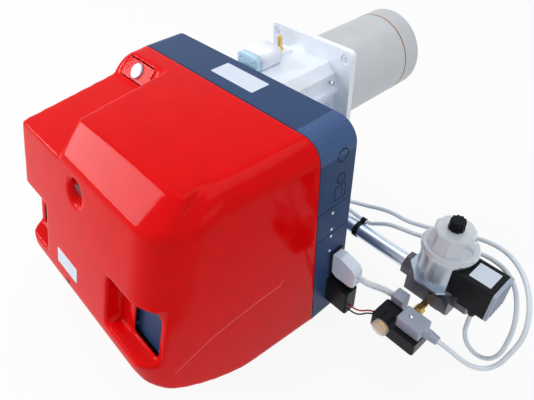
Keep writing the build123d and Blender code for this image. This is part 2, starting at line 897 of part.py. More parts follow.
# ================================================================ air box with damper and servomotor
plenum_start = half_scroll + scroll_wall
throat_start = plenum_start + plenum_depth
throat_end = throat_start + throat_depth
damper_x = throat_start + throat_depth / 2 + 4
throat_top = throat_half_height + air_box_wall
with BuildPart() as air_box:
    with BuildSketch(fan_axis.offset(plenum_start)):
        RectangleRounded(2 * plenum_half, 2 * plenum_half, 8)
    extrude(amount=plenum_depth)
    with BuildSketch(fan_axis.offset(throat_start)):
        Rectangle(2 * (throat_half_width + air_box_wall), 2 * throat_top)
    extrude(amount=throat_depth)
    with BuildSketch(fan_axis.offset(plenum_start)):
        RectangleRounded(2 * (plenum_half - air_box_wall), 2 * (plenum_half - air_box_wall), 5)
    extrude(amount=plenum_depth - air_box_wall, mode=Mode.SUBTRACT)
    with BuildSketch(fan_axis.offset(throat_start - air_box_wall)):
        Rectangle(2 * throat_half_width, 2 * throat_half_height)
    extrude(amount=throat_depth + air_box_wall, mode=Mode.SUBTRACT)
    with BuildSketch(at_z(fan_z - throat_top)):
        with Locations((damper_x, fan_y)):
            Circle(damper_shaft_r + shaft_clearance)
    extrude(amount=2 * throat_top, mode=Mode.SUBTRACT)
finish(air_box, "air_box")

shaft_bottom = fan_z - throat_top
cam_bottom = fan_z + throat_top + 1
servo_bottom = cam_bottom + cam_thickness + 1
with BuildPart() as air_damper:
    with BuildSketch(fan_axis.offset(damper_x - damper_plate / 2)):
        Rectangle(2 * (throat_half_width - damper_side_gap), 2 * (throat_half_height - damper_side_gap))
    extrude(amount=damper_plate)
    with BuildSketch(at_z(shaft_bottom)):
        with Locations((damper_x, fan_y)):
            Circle(damper_shaft_r)
    extrude(amount=servo_bottom + 8 - shaft_bottom)
finish(air_damper, "air_damper")

with BuildPart() as servo_cam:
    with BuildSketch(at_z(cam_bottom)):
        with Locations((damper_x, fan_y)):
            Circle(cam_r)
            Circle(damper_shaft_r, mode=Mode.SUBTRACT)
    extrude(amount=cam_thickness)
    with BuildSketch(at_z(cam_bottom)):
        with Locations((damper_x + cam_r, fan_y)):
            Rectangle(8, 5)
    extrude(amount=cam_thickness, mode=Mode.SUBTRACT)
finish(servo_cam, "servo_cam")

servo_width = 50.0
servo_foot = 4.0
with BuildPart() as servomotor:
    with BuildSketch(at_z(servo_bottom)):
        with Locations((throat_end - servo_width / 2, fan_y)):
            RectangleRounded(servo_width, servo_width, 4)
    extrude(amount=servo_height)
    with BuildSketch(at_z(fan_z + throat_top)):
        with Locations((throat_end - servo_width / 2, fan_y)):
            with GridLocations(0, servo_width - servo_foot, 1, 2):
                Rectangle(servo_width - 12, servo_foot)
    extrude(amount=servo_bottom - fan_z - throat_top)
    with BuildSketch(at_z(servo_bottom)):
        with Locations((damper_x, fan_y)):
            Circle(damper_shaft_r + shaft_clearance)
    extrude(amount=9, mode=Mode.SUBTRACT)
finish(servomotor, "servomotor")

# ================================================================ control box, transformer, hood stud
box_height = 68.0
box_top = 37.0
box_bevel = 24.0
facet_line = facet_plane.origin.Y + facet_plane.origin.Z
bevel_mid_z = box_top - box_bevel / 2
bevel_mid_y = facet_line - bevel_mid_z
box_front_y = bevel_mid_y - box_bevel / 2
control_button_r = 8.0
control_button_length = 10.0
bevel_plane = Plane(origin=(button_x, bevel_mid_y, bevel_mid_z), x_dir=(1, 0, 0), z_dir=(0, -1, 1))
rod_tip_distance = (facet_plane.origin - bevel_plane.origin).length - rod_end
control_button_proud = rod_tip_distance - running_gap
with BuildPart() as control_box:
    with BuildSketch(at_x(button_x - box_width / 2)):
        with BuildLine():
            Polyline(
                (back_wall_y, box_top),
                (back_wall_y, box_top - box_height),
                (box_front_y, box_top - box_height),
                (box_front_y, box_top - box_bevel),
                (box_front_y + box_bevel, box_top),
                close=True,
            )
        make_face()
    extrude(amount=box_width)
    with BuildSketch(bevel_plane):
        Circle(control_button_r + running_gap)
    extrude(amount=-control_button_length - button_travel - 1, mode=Mode.SUBTRACT)
    with BuildSketch(at_y(box_front_y)):
        with Locations((button_x, box_top - box_height + 14)):
            Rectangle(box_width - 16, 14)
    extrude(amount=-3, mode=Mode.SUBTRACT)
finish(control_box, "control_box")

with BuildPart() as control_button:
    with BuildSketch(bevel_plane.offset(control_button_proud)):
        Circle(control_button_r)
    extrude(amount=-control_button_length - control_button_proud)
finish(control_button, "control_button")

transformer_width = 92.0
transformer_side_gap = 27.0
transformer_x = body_half_width - shell_wall - transformer_side_gap - transformer_width / 2
with BuildPart() as ignition_transformer:
    with BuildSketch(at_y(back_wall_y)):
        with Locations((transformer_x, 30)):
            RectangleRounded(transformer_width, 62, 4)
    extrude(amount=66)
    with BuildSketch(at_y(back_wall_y - 66)):
        with Locations((transformer_x, 30)):
            with GridLocations(36, 0, 2, 1):
                Circle(7)
    extrude(amount=12, taper=10)
finish(ignition_transformer, "ignition_transformer")

stud_start_y = recess_floor_y + hood_wall + 1
with BuildPart() as scroll_solid:
    extrude(scroll_outline(-half_scroll, 0, back_wall_y), amount=scroll_width)
with BuildPart() as hood_stud:
    with BuildSketch(at_y(stud_start_y)):
        with Locations((recess_x, recess_z)):
            RegularPolygon(stud_across_flats / 2, 6, major_radius=False)
    extrude(amount=-(-370 - stud_start_y))
    add(scroll_solid.part, mode=Mode.SUBTRACT)
    with BuildSketch(at_y(stud_start_y)):
        with Locations((recess_x, recess_z)):
            Circle(hood_screw_r + shaft_clearance)
    extrude(amount=-(screw_tip_y - stud_start_y + 2), mode=Mode.SUBTRACT)
finish(hood_stud, "hood_stud")

# ================================================================ gas train
boss_bottom = -duct_height / 2 - gas_boss_drop
elbow_top = pipe_z + socket_reach
gas_down = Plane(origin=(0, gas_y, 0))
pipe_axis = Plane(origin=(0, gas_y, pipe_z), x_dir=(0, 1, 0), z_dir=(1, 0, 0))
valve_left = valve_x - valve_length / 2
valve_right = valve_x + valve_length / 2
with BuildPart() as gas_riser:
    with BuildSketch(gas_down.offset(boss_bottom + thread_depth)):
        Circle(pipe_r)
        Circle(pipe_bore_r, mode=Mode.SUBTRACT)
    extrude(amount=-(boss_bottom + 2 * thread_depth - elbow_top))
finish(gas_riser, "gas_riser")

with BuildPart() as gas_elbow:
    with BuildSketch(gas_down.offset(pipe_z)):
        Circle(socket_r)
    extrude(amount=socket_reach)
    with BuildSketch(pipe_axis):
        Circle(socket_r)
    extrude(amount=socket_reach)
    with Locations((0, gas_y, pipe_z)):
        Sphere(socket_r)
    with BuildSketch(gas_down.offset(elbow_top)):
        Circle(pipe_r)
    extrude(amount=-thread_depth, mode=Mode.SUBTRACT)
    with BuildSketch(pipe_axis.offset(socket_reach)):
        Circle(pipe_r)
    extrude(amount=-thread_depth, mode=Mode.SUBTRACT)
    with BuildSketch(gas_down.offset(pipe_z)):
        Circle(pipe_bore_r)
    extrude(amount=socket_reach, mode=Mode.SUBTRACT)
    with BuildSketch(pipe_axis):
        Circle(pipe_bore_r)
    extrude(amount=socket_reach, mode=Mode.SUBTRACT)
finish(gas_elbow, "gas_elbow")

with BuildPart() as gas_pipe:
    with BuildSketch(pipe_axis.offset(socket_reach - thread_depth)):
        Circle(pipe_r)
        Circle(pipe_bore_r, mode=Mode.SUBTRACT)
    extrude(amount=valve_left + 2 * thread_depth - socket_reach)
finish(gas_pipe, "gas_pipe")

clip_x = 186.0
clip_width = 9.0
clip_offset = 13.0
clip_lead = (clip_x, gas_y + clip_offset, pipe_z + clip_offset)
with BuildPart() as pipe_clip:
    with BuildSketch(pipe_axis.offset(clip_x - clip_width / 2)):
        Circle(pipe_r + 1.6)
        with Locations((clip_offset, clip_offset)):
            Circle(lead_r + 1.6)
        Circle(pipe_r, mode=Mode.SUBTRACT)
        with Locations((clip_offset, clip_offset)):
            Circle(lead_r, mode=Mode.SUBTRACT)
    extrude(amount=clip_width)
finish(pipe_clip, "pipe_clip")

with BuildPart() as valve_body:
    with BuildSketch(pipe_axis.offset(valve_x - valve_block_length / 2)) as block_outline:
        Rectangle(valve_block_depth, valve_block_height)
        chamfer(block_outline.vertices().group_by(Axis.Y)[0], 12)
    extrude(amount=valve_block_length)
    with BuildSketch(pipe_axis.offset(valve_left)):
        RegularPolygon(valve_end_flats / 2, 8, major_radius=False, rotation=22.5)
    extrude(amount=valve_length)
    # Octagonal pad of the test port on the front.
    with BuildSketch(at_y(gas_y - valve_block_depth / 2)):
        with Locations((valve_x + 20, pipe_z + 4)):
            RegularPolygon(15, 8, major_radius=False, rotation=22.5)
    extrude(amount=4)
    with BuildSketch(pipe_axis.offset(valve_left)):
        Circle(pipe_r)
    extrude(amount=thread_depth, mode=Mode.SUBTRACT)
    with BuildSketch(pipe_axis.offset(valve_right)):
        Circle(valve_port_r)
    extrude(amount=-16, mode=Mode.SUBTRACT)
    with BuildSketch(pipe_axis.offset(valve_left)):
        Circle(pipe_bore_r)
    extrude(amount=44, mode=Mode.SUBTRACT)
finish(valve_body, "valve_body")

can_axis = Plane(origin=(valve_x, gas_y, 0))
with BuildPart() as valve_base_plate:
    with BuildSketch(can_axis.offset(port_top)):
        RegularPolygon(base_plate_flats / 2, 8, major_radius=False, rotation=22.5)
    extrude(amount=base_plate_thickness)
finish(valve_base_plate, "valve_base_plate")

with BuildPart() as solenoid_can:
    with BuildSketch(can_axis.offset(can_bottom)):
        Circle(can_r)
    extrude(amount=can_height)
    with BuildSketch(can_axis.offset(can_top - 4)):
        Circle(rim_r - 1)
    extrude(amount=4)
finish(solenoid_can, "solenoid_can")

cap_bottom = can_top + rim_height
cap_top = cap_bottom + cap_height
with BuildPart() as clear_cap:
    with BuildSketch(can_axis.offset(can_top)):
        Circle(rim_r)
    extrude(amount=rim_height, taper=25)
    with BuildSketch(can_axis.offset(cap_bottom)):
        RegularPolygon(cap_r, cap_facets)
    with BuildSketch(can_axis.offset(cap_top)):
        RegularPolygon(cap_top_r, cap_facets)
    loft()
    chamfer(clear_cap.edges().group_by(Axis.Z)[-1], cap_edge)
    with BuildSketch(can_axis.offset(cap_top)):
        Circle(4 + shaft_clearance)
    extrude(amount=-10, mode=Mode.SUBTRACT)
finish(clear_cap, "clear_cap")

with BuildPart() as flow_knob:
    with BuildSketch(can_axis.offset(cap_top + running_gap)):
        Circle(knob_r)
        with PolarLocations(knob_r, 10):
            Circle(1.6, mode=Mode.SUBTRACT)
    extrude(amount=knob_height, taper=3)
    with BuildSketch(can_axis.offset(cap_top + running_gap)):
        Circle(4)
    extrude(amount=-9)
finish(flow_knob, "flow_knob")

plate_edge_x = valve_x + base_plate_flats / 2
with BuildPart() as coil_box:
    with BuildSketch(at_y(coil_box_y - coil_box_width / 2)):
        with BuildLine():
            Polyline(
                (valve_x + 20, can_bottom),
                (plate_edge_x, can_bottom),
                (plate_edge_x, coil_box_bottom),
                (coil_box_end_x, coil_box_bottom),
                (coil_box_end_x, coil_box_top),
                (valve_x + 20, coil_box_top),
                close=True,
            )
        make_face()
    extrude(amount=-coil_box_width)
    fillet(coil_box.edges().filter_by(Axis.X).group_by(Axis.Z)[-1], 3)
    with BuildSketch(can_axis.offset(can_bottom)):
        Circle(can_r)
    extrude(amount=can_height, mode=Mode.SUBTRACT)
finish(coil_box, "coil_box")

end_plate_height = coil_box_top - coil_box_bottom
with BuildPart() as coil_end_plate:
    with BuildSketch(at_x(coil_box_end_x)):
        with Locations((coil_box_y, coil_box_bottom + end_plate_height / 2)):
            RectangleRounded(coil_box_width + 2, end_plate_height + 1, 4)
    extrude(amount=end_plate_thickness)
    with BuildSketch(at_x(coil_box_end_x + end_plate_thickness)):
        with Locations((coil_box_y, coil_box_bottom + end_plate_height / 2)):
            with GridLocations(8, 0, 5, 1):
                Rectangle(3, end_plate_height - 14)
    extrude(amount=1.5)
finish(coil_end_plate, "coil_end_plate")

with BuildPart() as coil_gland:
    with BuildSketch(at_z(coil_box_bottom)):
        with Locations((coil_gland_x, coil_gland_y)):
            RegularPolygon(gland_r + 1, 6)
    extrude(amount=-6)
    with BuildSketch(at_z(coil_box_bottom - 6)):
        with Locations((coil_gland_x, coil_gland_y)):
            Circle(gland_r - 0.5)
    extrude(amount=-(gland_length - 6), taper=5)
finish(coil_gland, "coil_gland")

# ================================================================ gas pressure switch
valve_front_y = gas_y - valve_block_depth / 2
switch_back_y = switch_front_y + switch_depth
switch_port_z = switch_top - 8
with BuildPart() as switch_nipple:
    with BuildSketch(at_y(valve_front_y)):
        with Locations((valve_x + 4, switch_port_z)):
            Circle(switch_port_r - 3)
    extrude(amount=valve_front_y - switch_back_y)
    with BuildSketch(at_y(valve_front_y - 12)):
        with Locations((valve_x + 4, switch_port_z)):
            RegularPolygon(switch_port_r, 6)
    extrude(amount=10)
finish(switch_nipple, "switch_nipple")

with BuildPart() as switch_body:
    with BuildSketch(at_z(switch_top)):
        with Locations((switch_left + switch_length / 2, (switch_front_y + switch_back_y) / 2)):
            RectangleRounded(switch_length, switch_depth, 4)
    extrude(amount=-switch_height)
    with BuildSketch(at_y(switch_front_y + 20)):
        with Locations((dial_x, dial_z)):
            Circle(dial_cover_r)
    extrude(amount=20)
    with BuildSketch(at_y(switch_front_y)):
        with Locations((dial_x, dial_z)):
            Circle(3 + shaft_clearance)
    extrude(amount=-6, mode=Mode.SUBTRACT)
finish(switch_body, "switch_body")

with BuildPart() as switch_dial:
    with BuildSketch(at_y(switch_front_y - running_gap)):
        with Locations((dial_x, dial_z)):
            Circle(dial_r)
    extrude(amount=4)
    with BuildSketch(at_y(switch_front_y - running_gap)):
        with Locations((dial_x, dial_z)):
            Circle(3)
    extrude(amount=-5)
    with BuildSketch(at_y(switch_front_y - running_gap - 4)):
        with Locations((dial_x, dial_z)):
            Rectangle(2 * dial_r, 1.5)
    extrude(amount=-1.2, mode=Mode.SUBTRACT)
finish(switch_dial, "switch_dial")

with BuildPart() as switch_cover:
    with BuildSketch(at_y(switch_front_y)):
        with Locations((dial_x, dial_z)):
            Circle(dial_cover_r)
    extrude(amount=dial_cover_reach)
    fillet(switch_cover.edges().group_by(Axis.Y)[0], 2)
    with BuildSketch(at_y(switch_front_y)):
        with Locations((dial_x, dial_z)):
            Circle(dial_cover_r - dial_cover_wall)
    extrude(amount=dial_cover_reach - dial_cover_wall, mode=Mode.SUBTRACT)
finish(switch_cover, "switch_cover")

din_y = (switch_front_y + switch_back_y) / 2 + 5
with BuildPart() as din_plug:
    with BuildSketch(at_z(switch_top)):
        with Locations((din_left + din_length / 2, din_y)):
            RectangleRounded(din_length, din_width, 3)
    extrude(amount=din_height)
    fillet(din_plug.edges().group_by(Axis.Z)[-1], 2)
finish(din_plug, "din_plug")

din_gland_z = switch_top + din_height / 2
din_gland_tip = din_left + din_length + din_gland_length
with BuildPart() as din_gland:
    with BuildSketch(at_x(din_left + din_length)):
        with Locations((din_y, din_gland_z)):
            RegularPolygon(din_gland_r + 0.8, 6)
    extrude(amount=9)
    with BuildSketch(at_x(din_left + din_length + 9)):
        with Locations((din_y, din_gland_z)):
            Circle(din_gland_r - 0.5)
    extrude(amount=din_gland_length - 9, taper=6)
finish(din_gland, "din_gland")

small_plug_x = 327.0
small_plug_width = 22.0
small_plug_left = small_plug_x - small_plug_width / 2
with BuildPart() as small_plug:
    with BuildSketch(at_z(switch_top - 18)):
        with Locations((small_plug_x, switch_back_y + 11)):
            RectangleRounded(small_plug_width, 22, 2.5)
    extrude(amount=32)
    fillet(small_plug.edges().group_by(Axis.Z)[-1], 2)
finish(small_plug, "small_plug")

# ================================================================ electrics on the right side
plug_z = plug_top - plug_height / 2
with BuildPart() as plug_socket:
    with BuildSketch(at_x(body_half_width)):
        with Locations((plug_y, plug_z)):
            RectangleRounded(plug_width + 8, plug_height + 8, 3)
    extrude(amount=socket_plate)
finish(plug_socket, "plug_socket")

plug_start = body_half_width + socket_plate
with BuildPart() as power_plug:
    with BuildSketch(at_y(plug_y + plug_width / 2)):
        with BuildLine():
            Polyline(
                (plug_start, plug_top - plug_height + 6),
                (plug_start, plug_top),
                (plug_start + 14, plug_top + 2),
                (plug_start + plug_length - 6, plug_top - 6),
                (plug_start + plug_length, plug_top - 14),
                (plug_start + plug_length, plug_top - plug_height + 4),
                (plug_start + plug_length - 8, plug_top - plug_height),
                (plug_start + 8, plug_top - plug_height),
                close=True,
            )
        make_face()
    extrude(amount=plug_width)
    with BuildSketch(at_y(plug_y - plug_width / 2)):
        with Locations((plug_start + 20, plug_z)):
            with GridLocations(5, 0, 6, 1):
                Rectangle(1.6, plug_height - 14)
    extrude(amount=-1, mode=Mode.SUBTRACT)
finish(power_plug, "power_plug")

with BuildPart() as air_pressure_switch:
    with BuildSketch(at_x(body_half_width)):
        with Locations((air_switch_y, air_switch_top - air_switch_height / 2)):
            RectangleRounded(air_switch_width, air_switch_height, 5)
    extrude(amount=air_switch_length)
    fillet(air_pressure_switch.edges().group_by(Axis.X)[-1], 4)
    with BuildSketch(at_z(air_switch_top - air_switch_height)):
        with Locations((body_half_width + air_switch_length / 2, air_switch_y)):
            Circle(3.5)
    extrude(amount=-8)
finish(air_pressure_switch, "air_pressure_switch")

# ================================================================ leads


def corner_radii(points):
    """Largest tangent arc that each corner of a lead can take."""
    radii = []
    for before, here, after in zip(points, points[1:], points[2:]):
        first = Vector(*here) - Vector(*before)
        second = Vector(*after) - Vector(*here)
        turn = math.radians(first.get_angle(second))
        radii.append(0.45 * min(first.length, second.length) / math.tan(turn / 2))
    return radii


def lead(name, points, radius):
    """Round lead of straight runs and tangent arcs, written as its own piece."""
    radii = corner_radii(points)
    start = Plane(origin=points[0], z_dir=Vector(*points[1]) - Vector(*points[0]))
    with BuildPart() as made:
        with BuildLine() as path:
            FilletPolyline(*points, radius=radii)
        with BuildSketch(start):
            Circle(radius)
        sweep()
    length = path.wires()[0].length
    share = made.part.volume / (math.pi * radius**2 * length)
    print(f"{name}: length {length:.1f} mm, radii {min(radii):.0f} to {max(radii):.0f} mm, volume {share:.3f}")
    finish(made, name)


coil_lead_start = coil_box_bottom - gland_length
grommet_face = shell_back_y + grommet_thickness
lead(
    "coil_lead",
    [
        (coil_gland_x, coil_gland_y, coil_lead_start),
        (coil_gland_x, coil_gland_y, coil_lead_start - 24),
        (423, -86, -238),
        (434, -90, -261),
        (457, -93, -271),
        (480, -92, -260),
        (491, -89, -237),
        (492, -85, -209),
        (489, -80, -182),
        (481, -70, -156),
        (466, -50, -135),
        (446, -30, -124),
        (418, -17, -122),
        (388, -10, -128),
        (358, -9, -139),
        (328, -16, -149),
        (299, -28, -152),
        (270, -38, -150),
        (245, -44, -156),
        (222, clip_lead[1] + 0.5, -169),
        (clip_x + 12, clip_lead[1], clip_lead[2]),
        (clip_x - 12, clip_lead[1], clip_lead[2]),
        (151, -56, -172),
        (130, -77, -163),
        (lead_exits[0][0], -108, lead_exits[0][1]),
        (lead_exits[0][0], grommet_face, lead_exits[0][1]),
    ],
    lead_r,
)
lead(
    "switch_lead",
    [
        (din_gland_tip, din_y, din_gland_z),
        (din_gland_tip + 19.5, din_y, din_gland_z),
        (449, -152, -207),
        (464, -142, -224),
        (482, -129, -231),
        (497, -118, -220),
        (505, -111, -197),
        (507, -104, -171),
        (503, -95, -144),
        (493, -78, -121),
        (475, -56, -107),
        (452, -34, -100),
        (428, -15, -99),
        (402, -3, -104),
        (374, 3, -114),
        (346, 3, -125),
        (318, -3, -134),
        (290, -13, -138),
        (262, -22, -138),
        (234, -27, -142),
        (206, -30, -147),
        (178, -36, -150),
        (152, -51, -148),
        (130, -72, -144),
        (114, -97, -142),
        (lead_exits[1][0], -122, lead_exits[1][1]),
        (lead_exits[1][0], grommet_face, lead_exits[1][1]),
    ],
    lead_r,
)
plug_lead_x = plug_start + plug_length
plug_lead_y = plug_y + 3
plug_lead_z = plug_top - 24
small_plug_y = switch_back_y + small_plug_width / 2
for number, drop in enumerate((0, 9)):
    lead(
        f"plug_lead_{number + 1}",
        [
            (plug_lead_x, plug_lead_y, plug_lead_z - drop),
            (plug_lead_x + 14, plug_lead_y, plug_lead_z - drop),
            (plug_lead_x + 25, plug_lead_y + 9, plug_lead_z - drop - 6),
            (small_plug_left - 13, small_plug_y - 8, plug_lead_z - drop - 16),
            (small_plug_left, small_plug_y - 4, plug_lead_z - drop - 20),
        ],
        plug_lead_r,
    )
air_switch_x = body_half_width + air_switch_length
for name, drop in (("red_wire", 0), ("black_wire", 7)):
    lead(
        name,
        [
            (air_switch_x, air_switch_y - drop / 2, -249 - drop),
            (air_switch_x + 10, air_switch_y - drop / 2, -249 - drop),
            (air_switch_x + 23, air_switch_y + 1 - drop / 2, -242 - drop),
            (switch_left - 15, -166, -228 - drop),
            (switch_left, -164, -221 - drop),
        ],
        wire_r,
    )
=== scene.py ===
"""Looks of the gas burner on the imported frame: materials, rounded hood, leads, labels and small fittings.

Places and sizes of pieces are in millimetres and become metres by MM. The camera, the materials, the
lattice and the stage are in metres, as Blender has them.
"""

import json
import math

import bmesh
import bpy
from mathutils import Matrix, Vector
from mathutils.bvhtree import BVHTree


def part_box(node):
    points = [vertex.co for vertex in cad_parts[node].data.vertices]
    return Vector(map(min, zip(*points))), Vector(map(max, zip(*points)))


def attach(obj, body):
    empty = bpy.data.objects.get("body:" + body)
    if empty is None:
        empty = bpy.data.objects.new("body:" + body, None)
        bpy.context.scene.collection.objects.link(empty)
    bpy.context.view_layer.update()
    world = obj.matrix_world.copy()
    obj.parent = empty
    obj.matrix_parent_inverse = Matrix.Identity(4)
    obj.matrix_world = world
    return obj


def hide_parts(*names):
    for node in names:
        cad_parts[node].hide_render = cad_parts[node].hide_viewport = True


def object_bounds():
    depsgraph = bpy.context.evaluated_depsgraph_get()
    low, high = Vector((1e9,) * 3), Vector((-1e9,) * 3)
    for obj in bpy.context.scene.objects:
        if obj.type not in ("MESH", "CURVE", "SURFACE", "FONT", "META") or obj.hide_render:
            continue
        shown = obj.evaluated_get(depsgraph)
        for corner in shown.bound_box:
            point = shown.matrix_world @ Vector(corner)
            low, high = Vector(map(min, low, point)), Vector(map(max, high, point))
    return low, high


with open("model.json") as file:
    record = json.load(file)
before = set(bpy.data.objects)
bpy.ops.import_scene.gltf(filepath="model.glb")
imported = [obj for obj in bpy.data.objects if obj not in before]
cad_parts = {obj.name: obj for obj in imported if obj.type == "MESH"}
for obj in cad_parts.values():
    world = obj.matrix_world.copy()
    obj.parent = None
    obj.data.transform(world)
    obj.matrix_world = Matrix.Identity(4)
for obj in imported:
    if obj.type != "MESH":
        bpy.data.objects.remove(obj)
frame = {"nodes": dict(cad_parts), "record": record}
NODES = frame["nodes"]
CAD_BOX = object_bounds()
MM = 0.001

# ---------------------------------------------------------------- camera
CAMERA_AT = (0.54194, -0.58666, 0.44098)
CAMERA_AZIMUTH = 49.32
CAMERA_ELEVATION = 42.28
CAMERA_ROLL = -2.22
LENS = 32.66


def make_camera():
    """Camera at the photograph's viewing angle."""
    azimuth, elevation, roll = (math.radians(v) for v in (CAMERA_AZIMUTH, CAMERA_ELEVATION, CAMERA_ROLL))
    back = Vector(
        (
            math.sin(azimuth) * math.cos(elevation),
            -math.cos(azimuth) * math.cos(elevation),
            math.sin(elevation),
        )
    )
    level = Vector((math.cos(azimuth), math.sin(azimuth), 0))
    upright = back.cross(level)
    right = math.cos(roll) * level + math.sin(roll) * upright
    up = -math.sin(roll) * level + math.cos(roll) * upright
    data = bpy.data.cameras.new("camera")
    data.lens = LENS
    data.clip_start = 0.02
    data.clip_end = 50
    camera = bpy.data.objects.new("camera", data)
    bpy.context.scene.collection.objects.link(camera)
    camera.matrix_world = Matrix.Translation(CAMERA_AT) @ Matrix((right, up, back)).transposed().to_4x4()
    bpy.context.scene.camera = camera


# ---------------------------------------------------------------- materials
COAT_ROUGHNESS = 0.04
MOTTLE_FROM = 0.3
MOTTLE_TO = 0.7
ROUGHNESS_SPREAD = 0.15
# Pointiness at which the painted highlight on an edge starts and is full, and how much lighter the edge is
# painted there.
EDGE_HIGHLIGHT_FROM = 0.52
EDGE_HIGHLIGHT_TO = 0.62
EDGE_HIGHLIGHT_GAIN = 1.6
EDGE_HIGHLIGHT_LIFT = 0.05
STREAK_GRAIN = 260.0
STREAK_STRETCH = 0.05
# Blend of the facing ramp and the opacity where clear plastic turns away: a painted reflection.
CLEAR_BLEND = 0.45
CLEAR_SHEEN_HIGH = 0.92


def node_material(name):
    """Empty node material and its principled shader."""
    made = bpy.data.materials.new(name)
    made.use_nodes = True
    return made, made.node_tree.nodes, made.node_tree.links, made.node_tree.nodes["Principled BSDF"]


def grained(
    name,
    colour,
    roughness,
    metallic=0.0,
    coat=0.0,
    grain=900.0,
    bump=0.05,
    depth=0.0002,
    mottle=0.06,
    mottle_scale=30.0,
    specular=0.5,
    edge=0.0,
):
    """Surface with a fine grain, slight colour mottling, uneven roughness and a painted highlight that
    brightens its edges.
    """
    made, nodes, links, shader = node_material(name)
    place = nodes.new("ShaderNodeTexCoord")
    fine = nodes.new("ShaderNodeTexNoise")
    fine.inputs["Scale"].default_value = grain
    fine.inputs["Detail"].default_value = 3
    links.new(place.outputs["Object"], fine.inputs["Vector"])
    raised = nodes.new("ShaderNodeBump")
    raised.inputs["Strength"].default_value = bump
    raised.inputs["Distance"].default_value = depth
    links.new(fine.outputs["Fac"], raised.inputs["Height"])
    links.new(raised.outputs["Normal"], shader.inputs["Normal"])
    broad = nodes.new("ShaderNodeTexNoise")
    broad.inputs["Scale"].default_value = mottle_scale
    broad.inputs["Detail"].default_value = 5
    links.new(place.outputs["Object"], broad.inputs["Vector"])
    tint = nodes.new("ShaderNodeValToRGB")
    tint.color_ramp.elements[0].position = MOTTLE_FROM
    tint.color_ramp.elements[1].position = MOTTLE_TO
    tint.color_ramp.elements[0].color = (*[c * (1 - mottle) for c in colour], 1)
    tint.color_ramp.elements[1].color = (*[min(1, c * (1 + mottle)) for c in colour], 1)
    links.new(broad.outputs["Fac"], tint.inputs["Fac"])
    colour_out = tint.outputs["Color"]
    # Sharp edges are painted lighter: a painted highlight where they would catch the light.
    if edge:
        shape = nodes.new("ShaderNodeNewGeometry")
        edge_highlight_mask = nodes.new("ShaderNodeMapRange")
        edge_highlight_mask.inputs["From Min"].default_value = EDGE_HIGHLIGHT_FROM
        edge_highlight_mask.inputs["From Max"].default_value = EDGE_HIGHLIGHT_TO
        edge_highlight_mask.inputs["To Max"].default_value = edge
        links.new(shape.outputs["Pointiness"], edge_highlight_mask.inputs["Value"])
        lighter = nodes.new("ShaderNodeMix")
        lighter.data_type = "RGBA"
        lighter.inputs["B"].default_value = (*[min(1, c * EDGE_HIGHLIGHT_GAIN + EDGE_HIGHLIGHT_LIFT) for c in colour], 1)
        links.new(edge_highlight_mask.outputs["Result"], lighter.inputs["Factor"])
        links.new(colour_out, lighter.inputs["A"])
        colour_out = lighter.outputs["Result"]
    links.new(colour_out, shader.inputs["Base Color"])
    spread = nodes.new("ShaderNodeMapRange")
    spread.inputs["To Min"].default_value = roughness * (1 - ROUGHNESS_SPREAD)
    spread.inputs["To Max"].default_value = min(1, roughness * (1 + ROUGHNESS_SPREAD))
    links.new(broad.outputs["Fac"], spread.inputs["Value"])
    links.new(spread.outputs["Result"], shader.inputs["Roughness"])
    shader.inputs["Metallic"].default_value = metallic
    shader.inputs["Coat Weight"].default_value = coat
    shader.inputs["Coat Roughness"].default_value = COAT_ROUGHNESS
    shader.inputs["Specular IOR Level"].default_value = specular
    return made


def brushed(name, colour, roughness, direction, metallic):
    """Metal with fine drawn lines along one direction."""
    made = grained(
        name, colour, roughness, metallic, grain=STREAK_GRAIN, bump=0.06, depth=0.0001, mottle=0.05, edge=0.3
    )
    nodes, links = made.node_tree.nodes, made.node_tree.links
    stretch = nodes.new("ShaderNodeMapping")
    stretch.inputs["Scale"].default_value = [STREAK_STRETCH if d else 1.0 for d in direction]
    place = next(n for n in nodes if n.type == "TEX_COORD")
    noises = [n for n in nodes if n.type == "TEX_NOISE"]
    fine = next(n for n in noises if n.inputs["Scale"].default_value == STREAK_GRAIN)
    links.new(place.outputs["Object"], stretch.inputs["Vector"])
    links.new(stretch.outputs["Vector"], fine.inputs["Vector"])
    return made


def clear(name, colour, roughness, haze_low):
    """Clear moulded plastic: see-through and glossy, with a painted reflection that makes it paler and more
    opaque where it turns away.
    """
    made = grained(name, colour, roughness, grain=500, bump=0.05, mottle=0.02, coat=1.0, specular=1.0)
    nodes, links = made.node_tree.nodes, made.node_tree.links
    # More opaque and pale where the surface turns away: a painted reflection.
    turn = nodes.new("ShaderNodeLayerWeight")
    turn.inputs["Blend"].default_value = CLEAR_BLEND
    haze_and_sheen = nodes.new("ShaderNodeMapRange")
    haze_and_sheen.inputs["To Min"].default_value = haze_low
    haze_and_sheen.inputs["To Max"].default_value = CLEAR_SHEEN_HIGH
    links.new(turn.outputs["Facing"], haze_and_sheen.inputs["Value"])
    links.new(haze_and_sheen.outputs["Result"], nodes["Principled BSDF"].inputs["Alpha"])
    return made


